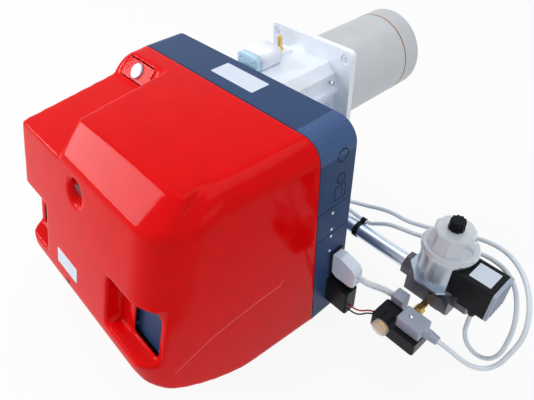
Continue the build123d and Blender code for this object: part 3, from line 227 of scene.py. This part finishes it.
def navy_with_lattice(name, colour):
    """Dark moulding whose rounded top right corner carries a fine diamond lattice, its raised lines painted
    lighter as a painted highlight.
    """
    made = grained(name, colour, 0.40, grain=1500, bump=0.12, mottle=0.05, specular=0.12)
    nodes, links = made.node_tree.nodes, made.node_tree.links
    place = next(n for n in nodes if n.type == "TEX_COORD")
    split = nodes.new("ShaderNodeSeparateXYZ")
    links.new(place.outputs["Object"], split.inputs["Vector"])

    def calc(operation, a, b=None):
        step = nodes.new("ShaderNodeMath")
        step.operation = operation
        for socket, value in zip(step.inputs, (a, b)):
            if value is None:
                continue
            if isinstance(value, (int, float)):
                socket.default_value = value
            else:
                links.new(value, socket)
        return step.outputs[0]

    x, y, z = split.outputs
    around = calc("ARCTAN2", calc("SUBTRACT", x, CORNER_X), calc("SUBTRACT", z, CORNER_Z))
    along = calc("MULTIPLY", around, CORNER_R)
    across = calc("MULTIPLY", y, LATTICE_SLANT)
    waves = [
        calc("ABSOLUTE", calc("SINE", calc("MULTIPLY", calc(way, along, across), LATTICE_RATE)))
        for way in ("ADD", "SUBTRACT")
    ]
    lines = calc("LESS_THAN", calc("MINIMUM", *waves), LATTICE_LINE)
    inside = calc(
        "MULTIPLY",
        calc("GREATER_THAN", x, CORNER_X - LATTICE_REACH_X),
        calc("GREATER_THAN", z, CORNER_Z - LATTICE_REACH_Z),
    )
    height = calc("MULTIPLY", lines, inside)
    raised = nodes.new("ShaderNodeBump")
    raised.inputs["Strength"].default_value = LATTICE_BUMP
    raised.inputs["Distance"].default_value = LATTICE_DEPTH
    links.new(height, raised.inputs["Height"])
    shader = nodes["Principled BSDF"]
    links.new(shader.inputs["Normal"].links[0].from_socket, raised.inputs["Normal"])
    links.new(raised.outputs["Normal"], shader.inputs["Normal"])
    # The lattice's raised lines get a lighter copy of the navy: a painted highlight.
    pale = nodes.new("ShaderNodeMix")
    pale.data_type = "RGBA"
    pale.inputs["B"].default_value = (*[c * LATTICE_HIGHLIGHT_GAIN + LATTICE_HIGHLIGHT_LIFT for c in colour], 1)
    links.new(height, pale.inputs["Factor"])
    links.new(shader.inputs["Base Color"].links[0].from_socket, pale.inputs["A"])
    links.new(pale.outputs["Result"], shader.inputs["Base Color"])
    return made


# The shell's rounded top right corner, then the lattice on it, how it is raised and how much lighter its
# lines are painted as a painted highlight.
shell_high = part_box("back_shell")[1]
CORNER_R = 0.034
CORNER_X = shell_high.x - CORNER_R
CORNER_Z = shell_high.z - CORNER_R
LATTICE_RATE = 1150.0
LATTICE_SLANT = 0.62
LATTICE_LINE = 0.42
LATTICE_REACH_X = 0.012
LATTICE_REACH_Z = 0.004
LATTICE_BUMP = 0.9
LATTICE_DEPTH = 0.0008
LATTICE_HIGHLIGHT_GAIN = 2.6
LATTICE_HIGHLIGHT_LIFT = 0.03

RED = (0.72, 0.002, 0.003)
NAVY = (0.028, 0.060, 0.145)
MATERIALS = {
    "red_hood": grained("red_hood", RED, 0.10, grain=260, bump=0.006, mottle=0.04, specular=0.06),
    "navy_shell": navy_with_lattice("navy_shell", NAVY),
    "cast_aluminium": grained(
        "cast_aluminium", (0.82, 0.87, 0.94), 0.42, 0.2, grain=1400, bump=0.2,
        depth=0.0004, mottle=0.06, edge=0.4
    ),
    "tube_steel": brushed("tube_steel", (0.44, 0.46, 0.48), 0.42, (0, 0, 1), metallic=0.6),
    "brass": grained(
        "brass", (0.82, 0.56, 0.20), 0.25, 0.95, grain=900, bump=0.05, mottle=0.1, edge=0.4
    ),
    "zinc": brushed("zinc", (0.60, 0.76, 0.96), 0.32, (1, 0, 0), metallic=0.9),
    "dark_steel": grained("dark_steel", (0.16, 0.16, 0.17), 0.35, 0.9, grain=900, bump=0.06, edge=0.3),
    "pale_blue": grained(
        "pale_blue", (0.44, 0.66, 0.84), 0.35, coat=0.4, grain=800, bump=0.06, edge=0.4
    ),
    "white_button": grained(
        "white_button", (0.50, 0.56, 0.68), 0.28, coat=0.2, grain=500, bump=0.02, mottle=0.03
    ),
    "electrode_ceramic": grained(
        "electrode_ceramic", (0.85, 0.82, 0.76), 0.3, coat=0.5, grain=500, bump=0.03
    ),
    "black_plastic": grained(
        "black_plastic", (0.006, 0.007, 0.009), 0.30, grain=1500, bump=0.12, mottle=0.15,
        specular=0.08, edge=0.12
    ),
    "black_rubber": grained(
        "black_rubber", (0.012, 0.012, 0.014), 0.6, grain=1200, bump=0.1, specular=0.25
    ),
    "bronze_valve": grained(
        "bronze_valve", (0.075, 0.075, 0.098), 0.36, 0.5, grain=1300, bump=0.3,
        depth=0.0005, mottle=0.2, edge=0.45
    ),
    "blue_grey_plate": brushed("blue_grey_plate", (0.34, 0.40, 0.48), 0.3, (1, 0, 0), metallic=0.85),
    "silver_can": brushed("silver_can", (0.50, 0.55, 0.62), 0.30, (0, 0, 1), metallic=0.8),
    "clear_plastic": clear("clear_plastic", (0.80, 0.74, 0.62), 0.10, 0.10),
    "grey_plastic": grained(
        "grey_plastic", (0.34, 0.39, 0.48), 0.42, grain=1400, bump=0.15, mottle=0.05, edge=0.25
    ),
    "light_plug": grained(
        "light_plug", (0.68, 0.76, 0.88), 0.42, grain=1400, bump=0.12, mottle=0.04, edge=0.2
    ),
    "yellow_dial": grained("yellow_dial", (0.95, 0.50, 0.02), 0.4, grain=900, bump=0.05, mottle=0.06),
    "white_lead": grained(
        "white_lead", (0.74, 0.81, 0.86), 0.33, coat=0.25, grain=700, bump=0.05,
        mottle=0.05, mottle_scale=60
    ),
    "red_insulation": grained(
        "red_insulation", (0.62, 0.02, 0.02), 0.35, coat=0.3, grain=700, bump=0.03
    ),
    "black_insulation": grained(
        "black_insulation", (0.02, 0.03, 0.06), 0.35, coat=0.3, grain=700, bump=0.03
    ),
    "motor_paint": grained(
        "motor_paint", (0.05, 0.05, 0.055), 0.45, 0.2, grain=900, bump=0.15, edge=0.3
    ),
}
CLEAR_CAP = clear("clear_cap_finish", (0.88, 0.93, 1.0), 0.07, 0.62)
LABEL = grained("label_white", (0.66, 0.72, 0.82), 0.35, grain=900, bump=0.03, mottle=0.03)
SEAM_BROWN = grained("seam_brown", (0.36, 0.15, 0.03), 0.5, 0.3, grain=900, bump=0.1, mottle=0.25)
# Dark red of the face's slot: painted shade inside the recess.
SLOT_SHADE = grained("slot_shade", (0.12, 0.004, 0.004), 0.5, grain=260, bump=0.01, mottle=0.04)
# Pale pink of the hood's crease: a painted highlight along the fold.
CREASE_HIGHLIGHT = grained("crease_highlight", (0.9, 0.22, 0.25), 0.3, grain=260, bump=0.01, mottle=0.04)
DARK_RIM = grained("dark_rim", (0.004, 0.006, 0.012), 0.5, grain=900, bump=0.05, specular=0.05)
BRIGHT = grained("bright_screw", (0.72, 0.74, 0.78), 0.25, 0.9, grain=900, bump=0.05)


def dress_nodes():
    """Gives each CAD node the material of its slot."""
    for part in frame["record"]["subparts"]:
        shown = NODES[part["node"]]
        shown.data.materials.clear()
        shown.data.materials.append(MATERIALS[part["material_slot"]])
    NODES["clear_cap"].data.materials[0] = CLEAR_CAP


# ---------------------------------------------------------------- leads
LEAD_R = 3.6
PLUG_LEAD_R = 2.5
WIRE_R = 1.4
PLUG_LEAD_DROP = 9
WIRE_DROP = 7
COIL_LEAD = [
    (421, -84, -189), (421, -84, -213), (423, -85, -237), (434, -86, -259), (455, -87, -266),
    (473, -86, -254), (481, -83, -231), (481, -78, -204), (478, -70, -178), (468, -56, -155),
    (452, -38, -140), (428, -22, -134), (399, -12, -138), (371, -9, -147), (347, -9, -154),
    (322, -13, -160), (300, -27, -158), (280, -41, -152), (257, -49, -150), (234, -50, -156),
    (214, -51, -169), (198, -51, -181), (174, -51, -181), (151, -56, -172), (130, -77, -163),
    (121, -108, -159), (121, -139, -159),
]
SWITCH_LEAD = [
    (412.5, -157, -195), (431, -157, -195), (447, -152, -205), (461, -142, -219), (478, -130, -222),
    (490, -118, -209), (494, -106, -187), (497, -94, -164), (492, -81, -141), (479, -62, -123),
    (461, -42, -114), (439, -23, -111), (410, -7, -114), (379, 1, -124), (352, 3, -135),
    (327, -1, -143), (303, -9, -148), (279, -19, -149), (254, -28, -149), (228, -31, -146),
    (202, -33, -152), (179, -37, -159), (154, -48, -158), (132, -67, -153), (115, -93, -146),
    (109, -118, -141), (109, -139, -141),
]


def plug_lead(drop):
    """Route of a short lead from the large plug to the small one."""
    return [
        (265, -161, -174 - drop), (279, -161, -174 - drop), (290, -152, -180 - drop),
        (303, -138, -190 - drop), (316, -134, -194 - drop),
    ]


def wire(drop):
    """Route of a wire from the air pressure switch to the gas pressure switch."""
    return [
        (262, -169 - drop / 2, -249 - drop), (272, -169 - drop / 2, -249 - drop),
        (285, -168 - drop / 2, -242 - drop), (297, -166, -228 - drop), (312, -164, -221 - drop),
    ]


def make_lead(name, node, route, radius, length, slot, stiffness):
    """Round lead on a smooth curve along its route."""
    curve = bpy.data.curves.new(name, "CURVE")
    curve.dimensions = "3D"
    curve.bevel_depth = radius * MM
    curve.bevel_resolution = 6
    curve.use_fill_caps = True
    spline = curve.splines.new("NURBS")
    spline.points.add(len(route) - 1)
    for point, at in zip(spline.points, route):
        point.co = (*(v * MM for v in at), 1)
    spline.order_u = 3
    spline.use_endpoint_u = True
    spline.resolution_u = 10
    made = bpy.data.objects.new(name, curve)
    bpy.context.scene.collection.objects.link(made)
    curve.materials.append(MATERIALS[slot])
    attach(made, "base")
    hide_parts(node)


# Name, replaced node, route, radius in millimetres, length in metres, slot and stiffness.
LEADS = (
    ("coil_flex", "coil_lead", COIL_LEAD, LEAD_R, 0.7036, "white_lead", "medium"),
    ("switch_flex", "switch_lead", SWITCH_LEAD, LEAD_R, 0.7092, "white_lead", "medium"),
    ("plug_flex_1", "plug_lead_1", plug_lead(0), PLUG_LEAD_R, 0.0642, "white_lead", "limp"),
    ("plug_flex_2", "plug_lead_2", plug_lead(PLUG_LEAD_DROP), PLUG_LEAD_R, 0.0642, "white_lead", "limp"),
    ("wire_red", "red_wire", wire(0), WIRE_R, 0.0595, "red_insulation", "limp"),
    ("wire_black", "black_wire", wire(WIRE_DROP), WIRE_R, 0.0601, "black_insulation", "limp"),
)


def make_leads():
    """The two long leads, the two plug leads and the two wires."""
    for lead in LEADS:
        make_lead(*lead)


# ---------------------------------------------------------------- mesh helpers
PLATE_RIM = 0.3
# Local X of a body of revolution: near the X axis, yet along none of the normals in use.
SPIN_START = (1, 0, 0.01)


def add_mesh(name, build, material, body, smooth=True):
    """New piece from a bmesh filled by build, riding on a body."""
    data = bpy.data.meshes.new(name)
    work = bmesh.new()
    build(work)
    bmesh.ops.recalc_face_normals(work, faces=work.faces)
    work.to_mesh(data)
    work.free()
    made = bpy.data.objects.new(name, data)
    bpy.context.scene.collection.objects.link(made)
    data.materials.append(material)
    if smooth:
        data.polygons.foreach_set("use_smooth", [True] * len(data.polygons))
    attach(made, body)
    return made


def basis(normal, right):
    """Rotation whose local Z is the normal and local X is near right."""
    z = Vector(normal).normalized()
    x = (Vector(right) - z * Vector(right).dot(z)).normalized()
    return Matrix((x, z.cross(x), z)).transposed().to_4x4()


def plate(work, at, normal, right, width, height, thickness, corner, segments=5):
    """Rounded rectangular plate standing on a point, all sizes in millimetres."""
    turn = Matrix.Translation(Vector(at) * MM) @ basis(normal, right)
    ring = []
    for sx, sy, start in ((1, 1, 0), (-1, 1, 90), (-1, -1, 180), (1, -1, 270)):
        for k in range(segments + 1):
            angle = math.radians(start + 90 * k / segments)
            ring.append(
                (
                    sx * (width / 2 - corner) + corner * math.cos(angle),
                    sy * (height / 2 - corner) + corner * math.sin(angle),
                )
            )
    rim = min(PLATE_RIM, thickness / 3)
    levels = ((0, 0), (thickness - rim, 0), (thickness, rim))
    loops = []
    for z, inset in levels:
        scale_x, scale_y = 1 - 2 * inset / width, 1 - 2 * inset / height
        points = [Vector((x * scale_x, y * scale_y, z)) for x, y in ring]
        loops.append([work.verts.new(turn @ (point * MM)) for point in points])
    for low, high in zip(loops, loops[1:]):
        for i in range(len(ring)):
            j = (i + 1) % len(ring)
            work.faces.new((low[i], low[j], high[j], high[i]))
    work.faces.new(loops[-1])
    work.faces.new(loops[0][::-1])


def turned(work, at, normal, profile, segments):
    """Body of revolution from (radius, height) pairs in millimetres, standing on a point."""
    turn = Matrix.Translation(Vector(at) * MM) @ basis(normal, SPIN_START)
    spokes = [2 * math.pi * k / segments for k in range(segments)]
    loops = []
    for radius, height in profile:
        if radius == 0:
            ring = [Vector((0, 0, height))]
        else:
            ring = [Vector((radius * math.cos(a), radius * math.sin(a), height)) for a in spokes]
        loops.append([work.verts.new(turn @ (point * MM)) for point in ring])
    for low, high in zip(loops, loops[1:]):
        for k in range(segments):
            n = (k + 1) % segments
            corners = [
                low[k % len(low)],
                low[n % len(low)],
                high[n % len(high)],
                high[k % len(high)],
            ]
            unique = list(dict.fromkeys(corners))
            if len(unique) > 2:
                work.faces.new(unique)


def evaluated(made):
    """Mesh of a piece with its modifiers applied."""
    graph = bpy.context.evaluated_depsgraph_get()
    return bpy.data.meshes.new_from_object(made.evaluated_get(graph))


def swap_mesh(made, data):
    """Gives a piece a new mesh and clears its modifiers."""
    old = made.data
    made.modifiers.clear()
    made.data = data
    bpy.data.meshes.remove(old)


# ---------------------------------------------------------------- hood
HOOD_VOXEL = 2.0
HOOD_SMOOTHING = 36
SMOOTHING_FACTOR = 0.5
# Depth of the rear rim that isn't smoothed, and the depth ahead of it over which the smoothing comes in.
RIM_KEPT = 3 * MM
RIM_BLEND = 10 * MM
# The front right edge has no round below the first of these heights and the whole one above the second.
EDGE_R = 60.0
EDGE_FADE = (-104.0, -50.0)
# Depth and half width of the hood at its rear and front, then the (y, z) corners of its front.
REAR_Y = -213.0
FRONT_Y = -512.0
REAR_HALF = 217.0
FRONT_HALF = 192.0
PANEL_FOOT = (-447.0, 41.0)
PANEL_HEAD = (-398.0, 80.0)
LIP = (-512.0, -168.0)


def side_x(y):
    """X of the hood's right wall at a depth, in millimetres."""
    return REAR_HALF - (REAR_HALF - FRONT_HALF) * (REAR_Y - y) / (REAR_Y - FRONT_Y)


def front_y(z):
    """Y of the hood's front at a height, along the face and the sloping panel, in millimetres."""
    (y0, z0), (y1, z1) = (PANEL_FOOT, PANEL_HEAD) if z > PANEL_FOOT[1] else (PANEL_FOOT, LIP)
    share = min(1.0, (z - z0) / (z1 - z0))
    return y0 + (y1 - y0) * share


def round_front_edge(made):
    """Gives the sharp front right edge the moulding's broad round."""
    for vertex in made.data.vertices:
        x, y, z = (v / MM for v in vertex.co)
        inward = EDGE_R - (side_x(y) - x)
        backward = EDGE_R - (y - front_y(z))
        if inward <= 0 or backward <= 0 or z < EDGE_FADE[0]:
            continue
        fade = min(1.0, (z - EDGE_FADE[0]) / (EDGE_FADE[1] - EDGE_FADE[0]))
        fade = fade * fade * (3 - 2 * fade)
        pull = fade * (1 - max(inward, backward) / math.hypot(inward, backward))
        vertex.co.x -= inward * pull * MM
        vertex.co.y += backward * pull * MM


def make_hood():
    """Hood with soft corners and a broad front right edge, whose rear rim stays as modelled."""
    source = NODES["hood"]
    made = bpy.data.objects.new("hood_moulding", source.data.copy())
    bpy.context.scene.collection.objects.link(made)
    remesh = made.modifiers.new("remesh", "REMESH")
    remesh.mode = "VOXEL"
    remesh.voxel_size = HOOD_VOXEL * MM
    swap_mesh(made, evaluated(made))
    round_front_edge(made)
    rim_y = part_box("hood")[1].y
    free = made.vertex_groups.new(name="free")
    for vertex in made.data.vertices:
        weight = min(1.0, max(0.0, (rim_y - RIM_KEPT - vertex.co.y) / RIM_BLEND))
        if weight > 0:
            free.add((vertex.index,), weight, "REPLACE")
    soften = made.modifiers.new("soften", "SMOOTH")
    soften.factor = SMOOTHING_FACTOR
    soften.iterations = HOOD_SMOOTHING
    soften.vertex_group = "free"
    swap_mesh(made, evaluated(made))
    made.data.polygons.foreach_set("use_smooth", [True] * len(made.data.polygons))
    made.data.materials.clear()
    made.data.materials.append(MATERIALS["red_hood"])
    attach(made, "hood")
    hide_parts("hood")
    return made


# ---------------------------------------------------------------- labels and small fittings
FACE_SLOPE = (PANEL_FOOT[0] - LIP[0]) / (PANEL_FOOT[1] - LIP[1])
FACE_NORMAL = (0, -1, FACE_SLOPE)
# Places on the hood's face are (x, z).
FACE_LABEL = (-40, -131)
FACE_SLOT = (-38, -160)
SHELL_LABEL_AT = (9, -174.5, 84)
COIL_LABEL_SHIFT = 6
RIGHT = (1, 0, 0)
FORWARD = (0, 1, 0)
TOWARDS_FRONT = (0, -1, 0)
UP = (0, 0, 1)


def on_face(place):
    """Point on the hood's leaning front face at an (x, z) place."""
    x, z = place
    return (x, PANEL_FOOT[0] + FACE_SLOPE * (z - PANEL_FOOT[1]), z)


def make_labels():
    """Blank labels on the shell, the hood's face and the coil box."""
    add_mesh(
        "shell_label",
        lambda w: plate(w, SHELL_LABEL_AT, UP, RIGHT, width=98, height=35, thickness=0.3, corner=2),
        LABEL, "base", smooth=False,
    )
    add_mesh(
        "face_label",
        lambda w: plate(
            w, on_face(FACE_LABEL), FACE_NORMAL, RIGHT, width=66, height=27, thickness=0.5, corner=2
        ),
        LABEL, "hood", smooth=False,
    )
    low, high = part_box("coil_box")
    at = ((low.x + high.x) / 2 / MM + COIL_LABEL_SHIFT, (low.y + high.y) / 2 / MM, high.z / MM)
    add_mesh(
        "coil_label",
        lambda w: plate(w, at, UP, RIGHT, width=34, height=33, thickness=0.3, corner=1),
        LABEL, "base", smooth=False,
    )


# Screws as (radius, height) pairs from the face that they stand on.
SMALL_HEAD = [(0, 0), (2.6, 0), (2.6, 0.8), (2.0, 1.4), (0, 1.5)]
PAN_HEAD = [(0, 0), (3.6, 0), (3.6, 1.2), (2.6, 2.6), (0, 3.0)]
LONG_SCREW = [(2.4, -1), (2.4, 8), (4, 8), (4, 11), (0, 11)]
COVER_HEAD = [(0, 0), (2, 0), (2, 1), (0, 1.4)]
SHELL_SCREW_Y = -181.5
SHELL_SCREW_HEIGHTS = (-54, -88, -103, -136)
CASTING_SCREW_AT = (60, -28, 40)
PLUG_SCREW_SHIFT = 16
PLUG_SCREW_Y = -157
# Raised seam round the blast tube, as (radius, height) pairs about SEAM_Y.
SEAM_Y = 174
SEAM = [(75.9, -1.5), (76.3, -1.2), (76.3, 1.2), (75.9, 1.5)]
# Knock-outs on the shell's right side, as (height, radius), and the marked rectangle below them.
KNOCK_OUT_Y = -169
KNOCK_OUTS = ((45, 11), (5, 9))
MARK_Z = -20
MARK_WIDTH = 22
MARK_HEIGHT = 26
MARK_LINE = 1
INNER_LINE_SHIFT = 4
INNER_LINE = 16
EDGE_PROUD = 0.2
RING_WIDTH = 1.6
MARK_CORNER = 0.3


def shell_screws(work):
    """Screws down the shell's right side."""
    for z in SHELL_SCREW_HEIGHTS:
        turned(work, (REAR_HALF, SHELL_SCREW_Y, z), RIGHT, SMALL_HEAD, segments=24)


def knock_outs(work):
    """Dark edges of the two round knock-outs and of the rectangle below them."""
    for z, radius in KNOCK_OUTS:
        bore = radius - RING_WIDTH
        ring = [(bore, 0), (bore + EDGE_PROUD, EDGE_PROUD), (radius - EDGE_PROUD, EDGE_PROUD), (radius, 0)]
        turned(work, (REAR_HALF, KNOCK_OUT_Y, z), RIGHT, ring, segments=40)
    half_width, half_height = MARK_WIDTH / 2, MARK_HEIGHT / 2 - MARK_LINE
    lines = [(side * half_width, 0, MARK_LINE, MARK_HEIGHT) for side in (1, -1)]
    lines += [(0, side * half_height, MARK_WIDTH, MARK_LINE) for side in (1, -1)]
    lines.append((INNER_LINE_SHIFT, 0, MARK_LINE, INNER_LINE))
    for along, above, wide, high in lines:
        at = (REAR_HALF, KNOCK_OUT_Y + along, MARK_Z + above)
        plate(work, at, RIGHT, FORWARD, wide, high, thickness=EDGE_PROUD, corner=MARK_CORNER, segments=2)


def make_small_fittings():
    """Screws of the shell, casting and plug, knock-out edges, the face's slot as a dark plate of painted
    shade, and the tube's seam.
    """
    add_mesh("shell_screws", shell_screws, BRIGHT, "base")
    add_mesh(
        "casting_screw",
        lambda w: turned(w, CASTING_SCREW_AT, RIGHT, LONG_SCREW, segments=24),
        BRIGHT, "base",
    )
    add_mesh("knock_out_edges", knock_outs, DARK_RIM, "base")
    add_mesh(
        "face_slot_shade",
        lambda w: plate(
            w, on_face(FACE_SLOT), FACE_NORMAL, RIGHT,
            width=13, height=6, thickness=0.4, corner=2.9, segments=8,
        ),
        SLOT_SHADE, "hood",
    )
    low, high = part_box("din_plug")
    plug_screw_at = (low.x / MM + PLUG_SCREW_SHIFT, PLUG_SCREW_Y, high.z / MM)
    add_mesh(
        "plug_screw",
        lambda w: turned(w, plug_screw_at, UP, PAN_HEAD, segments=24),
        BRIGHT, "base",
    )
    add_mesh(
        "tube_seam",
        lambda w: turned(w, (0, SEAM_Y, 0), FORWARD, SEAM, segments=96),
        SEAM_BROWN, "base",
    )


HUMP_AT = (-31.0, -114.0, 77.0)
COVER_DEPTH = 12
COVER_SCREW_SIDE = 16
COVER_SCREW_UP = 7


def make_duct_hump():
    """Rounded hump of the casting behind the shell, with its pale blue front cover."""
    add_mesh(
        "duct_hump",
        lambda w: plate(
            w, HUMP_AT, FORWARD, RIGHT, width=50, height=31, thickness=44, corner=13, segments=10
        ),
        MATERIALS["cast_aluminium"], "base",
    )

    def cover(work):
        x, y, z = HUMP_AT
        plate(
            work, HUMP_AT, TOWARDS_FRONT, RIGHT,
            width=47, height=28, thickness=COVER_DEPTH, corner=9, segments=8,
        )
        for side in (-1, 1):
            at = (x + COVER_SCREW_SIDE * side, y - COVER_DEPTH, z + COVER_SCREW_UP)
            turned(work, at, TOWARDS_FRONT, COVER_HEAD, segments=16)

    made = add_mesh("hump_cover", cover, MATERIALS["pale_blue"], "base")
    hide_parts("top_bracket")


# Line of the crease on the hood's right wall, along which a pale painted highlight is laid, as (y, z)
# points.
CREASE = [(-277, -131), (-283, -141), (-325, -145), (-404, -160), (-473, -188)]
CREASE_STEP = 4
CREASE_HALF = 0.9 * MM
CREASE_PROUD = 0.5 * MM
# X in metres, outside the hood's right wall, from which the crease is laid on it.
BEYOND_HOOD = 0.3


def make_crease_highlight(hood):
    """Fine raised crease along the hood's right wall, laid on its surface and coloured pale pink as a
    painted highlight.
    """
    mesh = hood.data
    surface = BVHTree.FromPolygons([v.co for v in mesh.vertices], [p.vertices for p in mesh.polygons])
    along = []
    for (y0, z0), (y1, z1) in zip(CREASE, CREASE[1:]):
        steps = max(1, round(math.dist((y0, z0), (y1, z1)) / CREASE_STEP))
        along += [(y0 + (y1 - y0) * k / steps, z0 + (z1 - z0) * k / steps) for k in range(steps)]
    section = ((-CREASE_HALF, -CREASE_HALF), (CREASE_PROUD, 0), (-CREASE_HALF, CREASE_HALF))

    def build(work):
        rows = []
        for y, z in along:
            hit = surface.ray_cast(Vector((BEYOND_HOOD, y * MM, z * MM)), Vector((-1, 0, 0)))[0]
            rows.append([work.verts.new(hit + Vector((out, 0, up))) for out, up in section])
        for low, high in zip(rows, rows[1:]):
            for i in range(3):
                j = (i + 1) % 3
                work.faces.new((low[i], low[j], high[j], high[i]))
        work.faces.new(rows[0])
        work.faces.new(rows[-1][::-1])

    add_mesh("hood_crease_highlight", build, CREASE_HIGHLIGHT, "hood")


# ---------------------------------------------------------------- stage
FLOOR_DROP = 0.004
FLOOR_HALF = 12
FLOOR_GLOW = 0.90
FLOOR_COLOUR = (0.80, 0.80, 0.80, 1)
FLOOR_ROUGHNESS = 0.9
WORLD_COLOUR = (0.90, 0.94, 1.0, 1)
WORLD_STRENGTH = 0.55
WHITE = (1, 1, 1, 1)
LAMPS_AIM = (0, -0.2, -0.1)
# Name, place in metres, size in metres and power in watts.
LAMPS = (
    ("key", (-1.9, -1.75, 1.25), 1.15, 44),
    ("side", (2.2, -0.6, 1.2), 1.2, 7),
    ("top", (0.2, 0.3, 2.4), 1.8, 20),
)


def background_rays(nodes, links, path):
    """One where a ray comes from the camera, a reflection or a clear surface."""
    seen = path.outputs["Is Camera Ray"]
    for kind in ("Is Glossy Ray", "Is Transmission Ray"):
        either = nodes.new("ShaderNodeMath")
        either.operation = "MAXIMUM"
        links.new(seen, either.inputs[0])
        links.new(path.outputs[kind], either.inputs[1])
        seen = either.outputs[0]
    return seen


def make_floor():
    """Pale floor that is nearly white where it is seen, with a faint shadow of the object."""
    data = bpy.data.meshes.new("floor")
    work = bmesh.new()
    bmesh.ops.create_grid(work, x_segments=1, y_segments=1, size=FLOOR_HALF)
    bmesh.ops.translate(work, verts=work.verts, vec=(0, 0, CAD_BOX[0].z - FLOOR_DROP))
    work.to_mesh(data)
    work.free()
    floor = bpy.data.objects.new("floor", data)
    bpy.context.scene.collection.objects.link(floor)
    made, nodes, links, shader = node_material("floor")
    shader.inputs["Base Color"].default_value = FLOOR_COLOUR
    shader.inputs["Roughness"].default_value = FLOOR_ROUGHNESS
    glow = nodes.new("ShaderNodeEmission")
    glow.inputs["Color"].default_value = WHITE
    glow.inputs["Strength"].default_value = 1.0
    path = nodes.new("ShaderNodeLightPath")
    share = nodes.new("ShaderNodeMath")
    share.operation = "MULTIPLY"
    share.inputs[1].default_value = FLOOR_GLOW
    links.new(background_rays(nodes, links, path), share.inputs[0])
    blend = nodes.new("ShaderNodeMixShader")
    links.new(share.outputs[0], blend.inputs["Fac"])
    links.new(shader.outputs["BSDF"], blend.inputs[1])
    links.new(glow.outputs["Emission"], blend.inputs[2])
    links.new(blend.outputs["Shader"], nodes["Material Output"].inputs["Surface"])
    data.materials.append(made)


def make_world():
    """World that lights the object softly and is white where it is seen."""
    world = bpy.data.worlds.new("world")
    world.use_nodes = True
    nodes, links = world.node_tree.nodes, world.node_tree.links
    lit = nodes["Background"]
    lit.inputs["Color"].default_value = WORLD_COLOUR
    lit.inputs["Strength"].default_value = WORLD_STRENGTH
    white = nodes.new("ShaderNodeBackground")
    white.inputs["Color"].default_value = WHITE
    white.inputs["Strength"].default_value = 1.0
    path = nodes.new("ShaderNodeLightPath")
    blend = nodes.new("ShaderNodeMixShader")
    links.new(background_rays(nodes, links, path), blend.inputs["Fac"])
    links.new(lit.outputs["Background"], blend.inputs[1])
    links.new(white.outputs["Background"], blend.inputs[2])
    links.new(blend.outputs["Shader"], nodes["World Output"].inputs["Surface"])
    bpy.context.scene.world = world


def make_lamps():
    """Soft area lamps aimed at the object."""
    for name, at, size, power in LAMPS:
        lamp = bpy.data.lights.new(name, "AREA")
        lamp.size = size
        lamp.energy = power
        placed = bpy.data.objects.new(name, lamp)
        bpy.context.scene.collection.objects.link(placed)
        aim = Vector(LAMPS_AIM) - Vector(at)
        placed.location = at
        placed.rotation_mode = "QUATERNION"
        placed.rotation_quaternion = aim.to_track_quat("-Z", "Y")


make_camera()
make_leads()
dress_nodes()
make_crease_highlight(make_hood())
make_labels()
make_small_fittings()
make_duct_hump()
make_floor()
make_world()
make_lamps()
bpy.context.scene.view_settings.view_transform = "Standard"
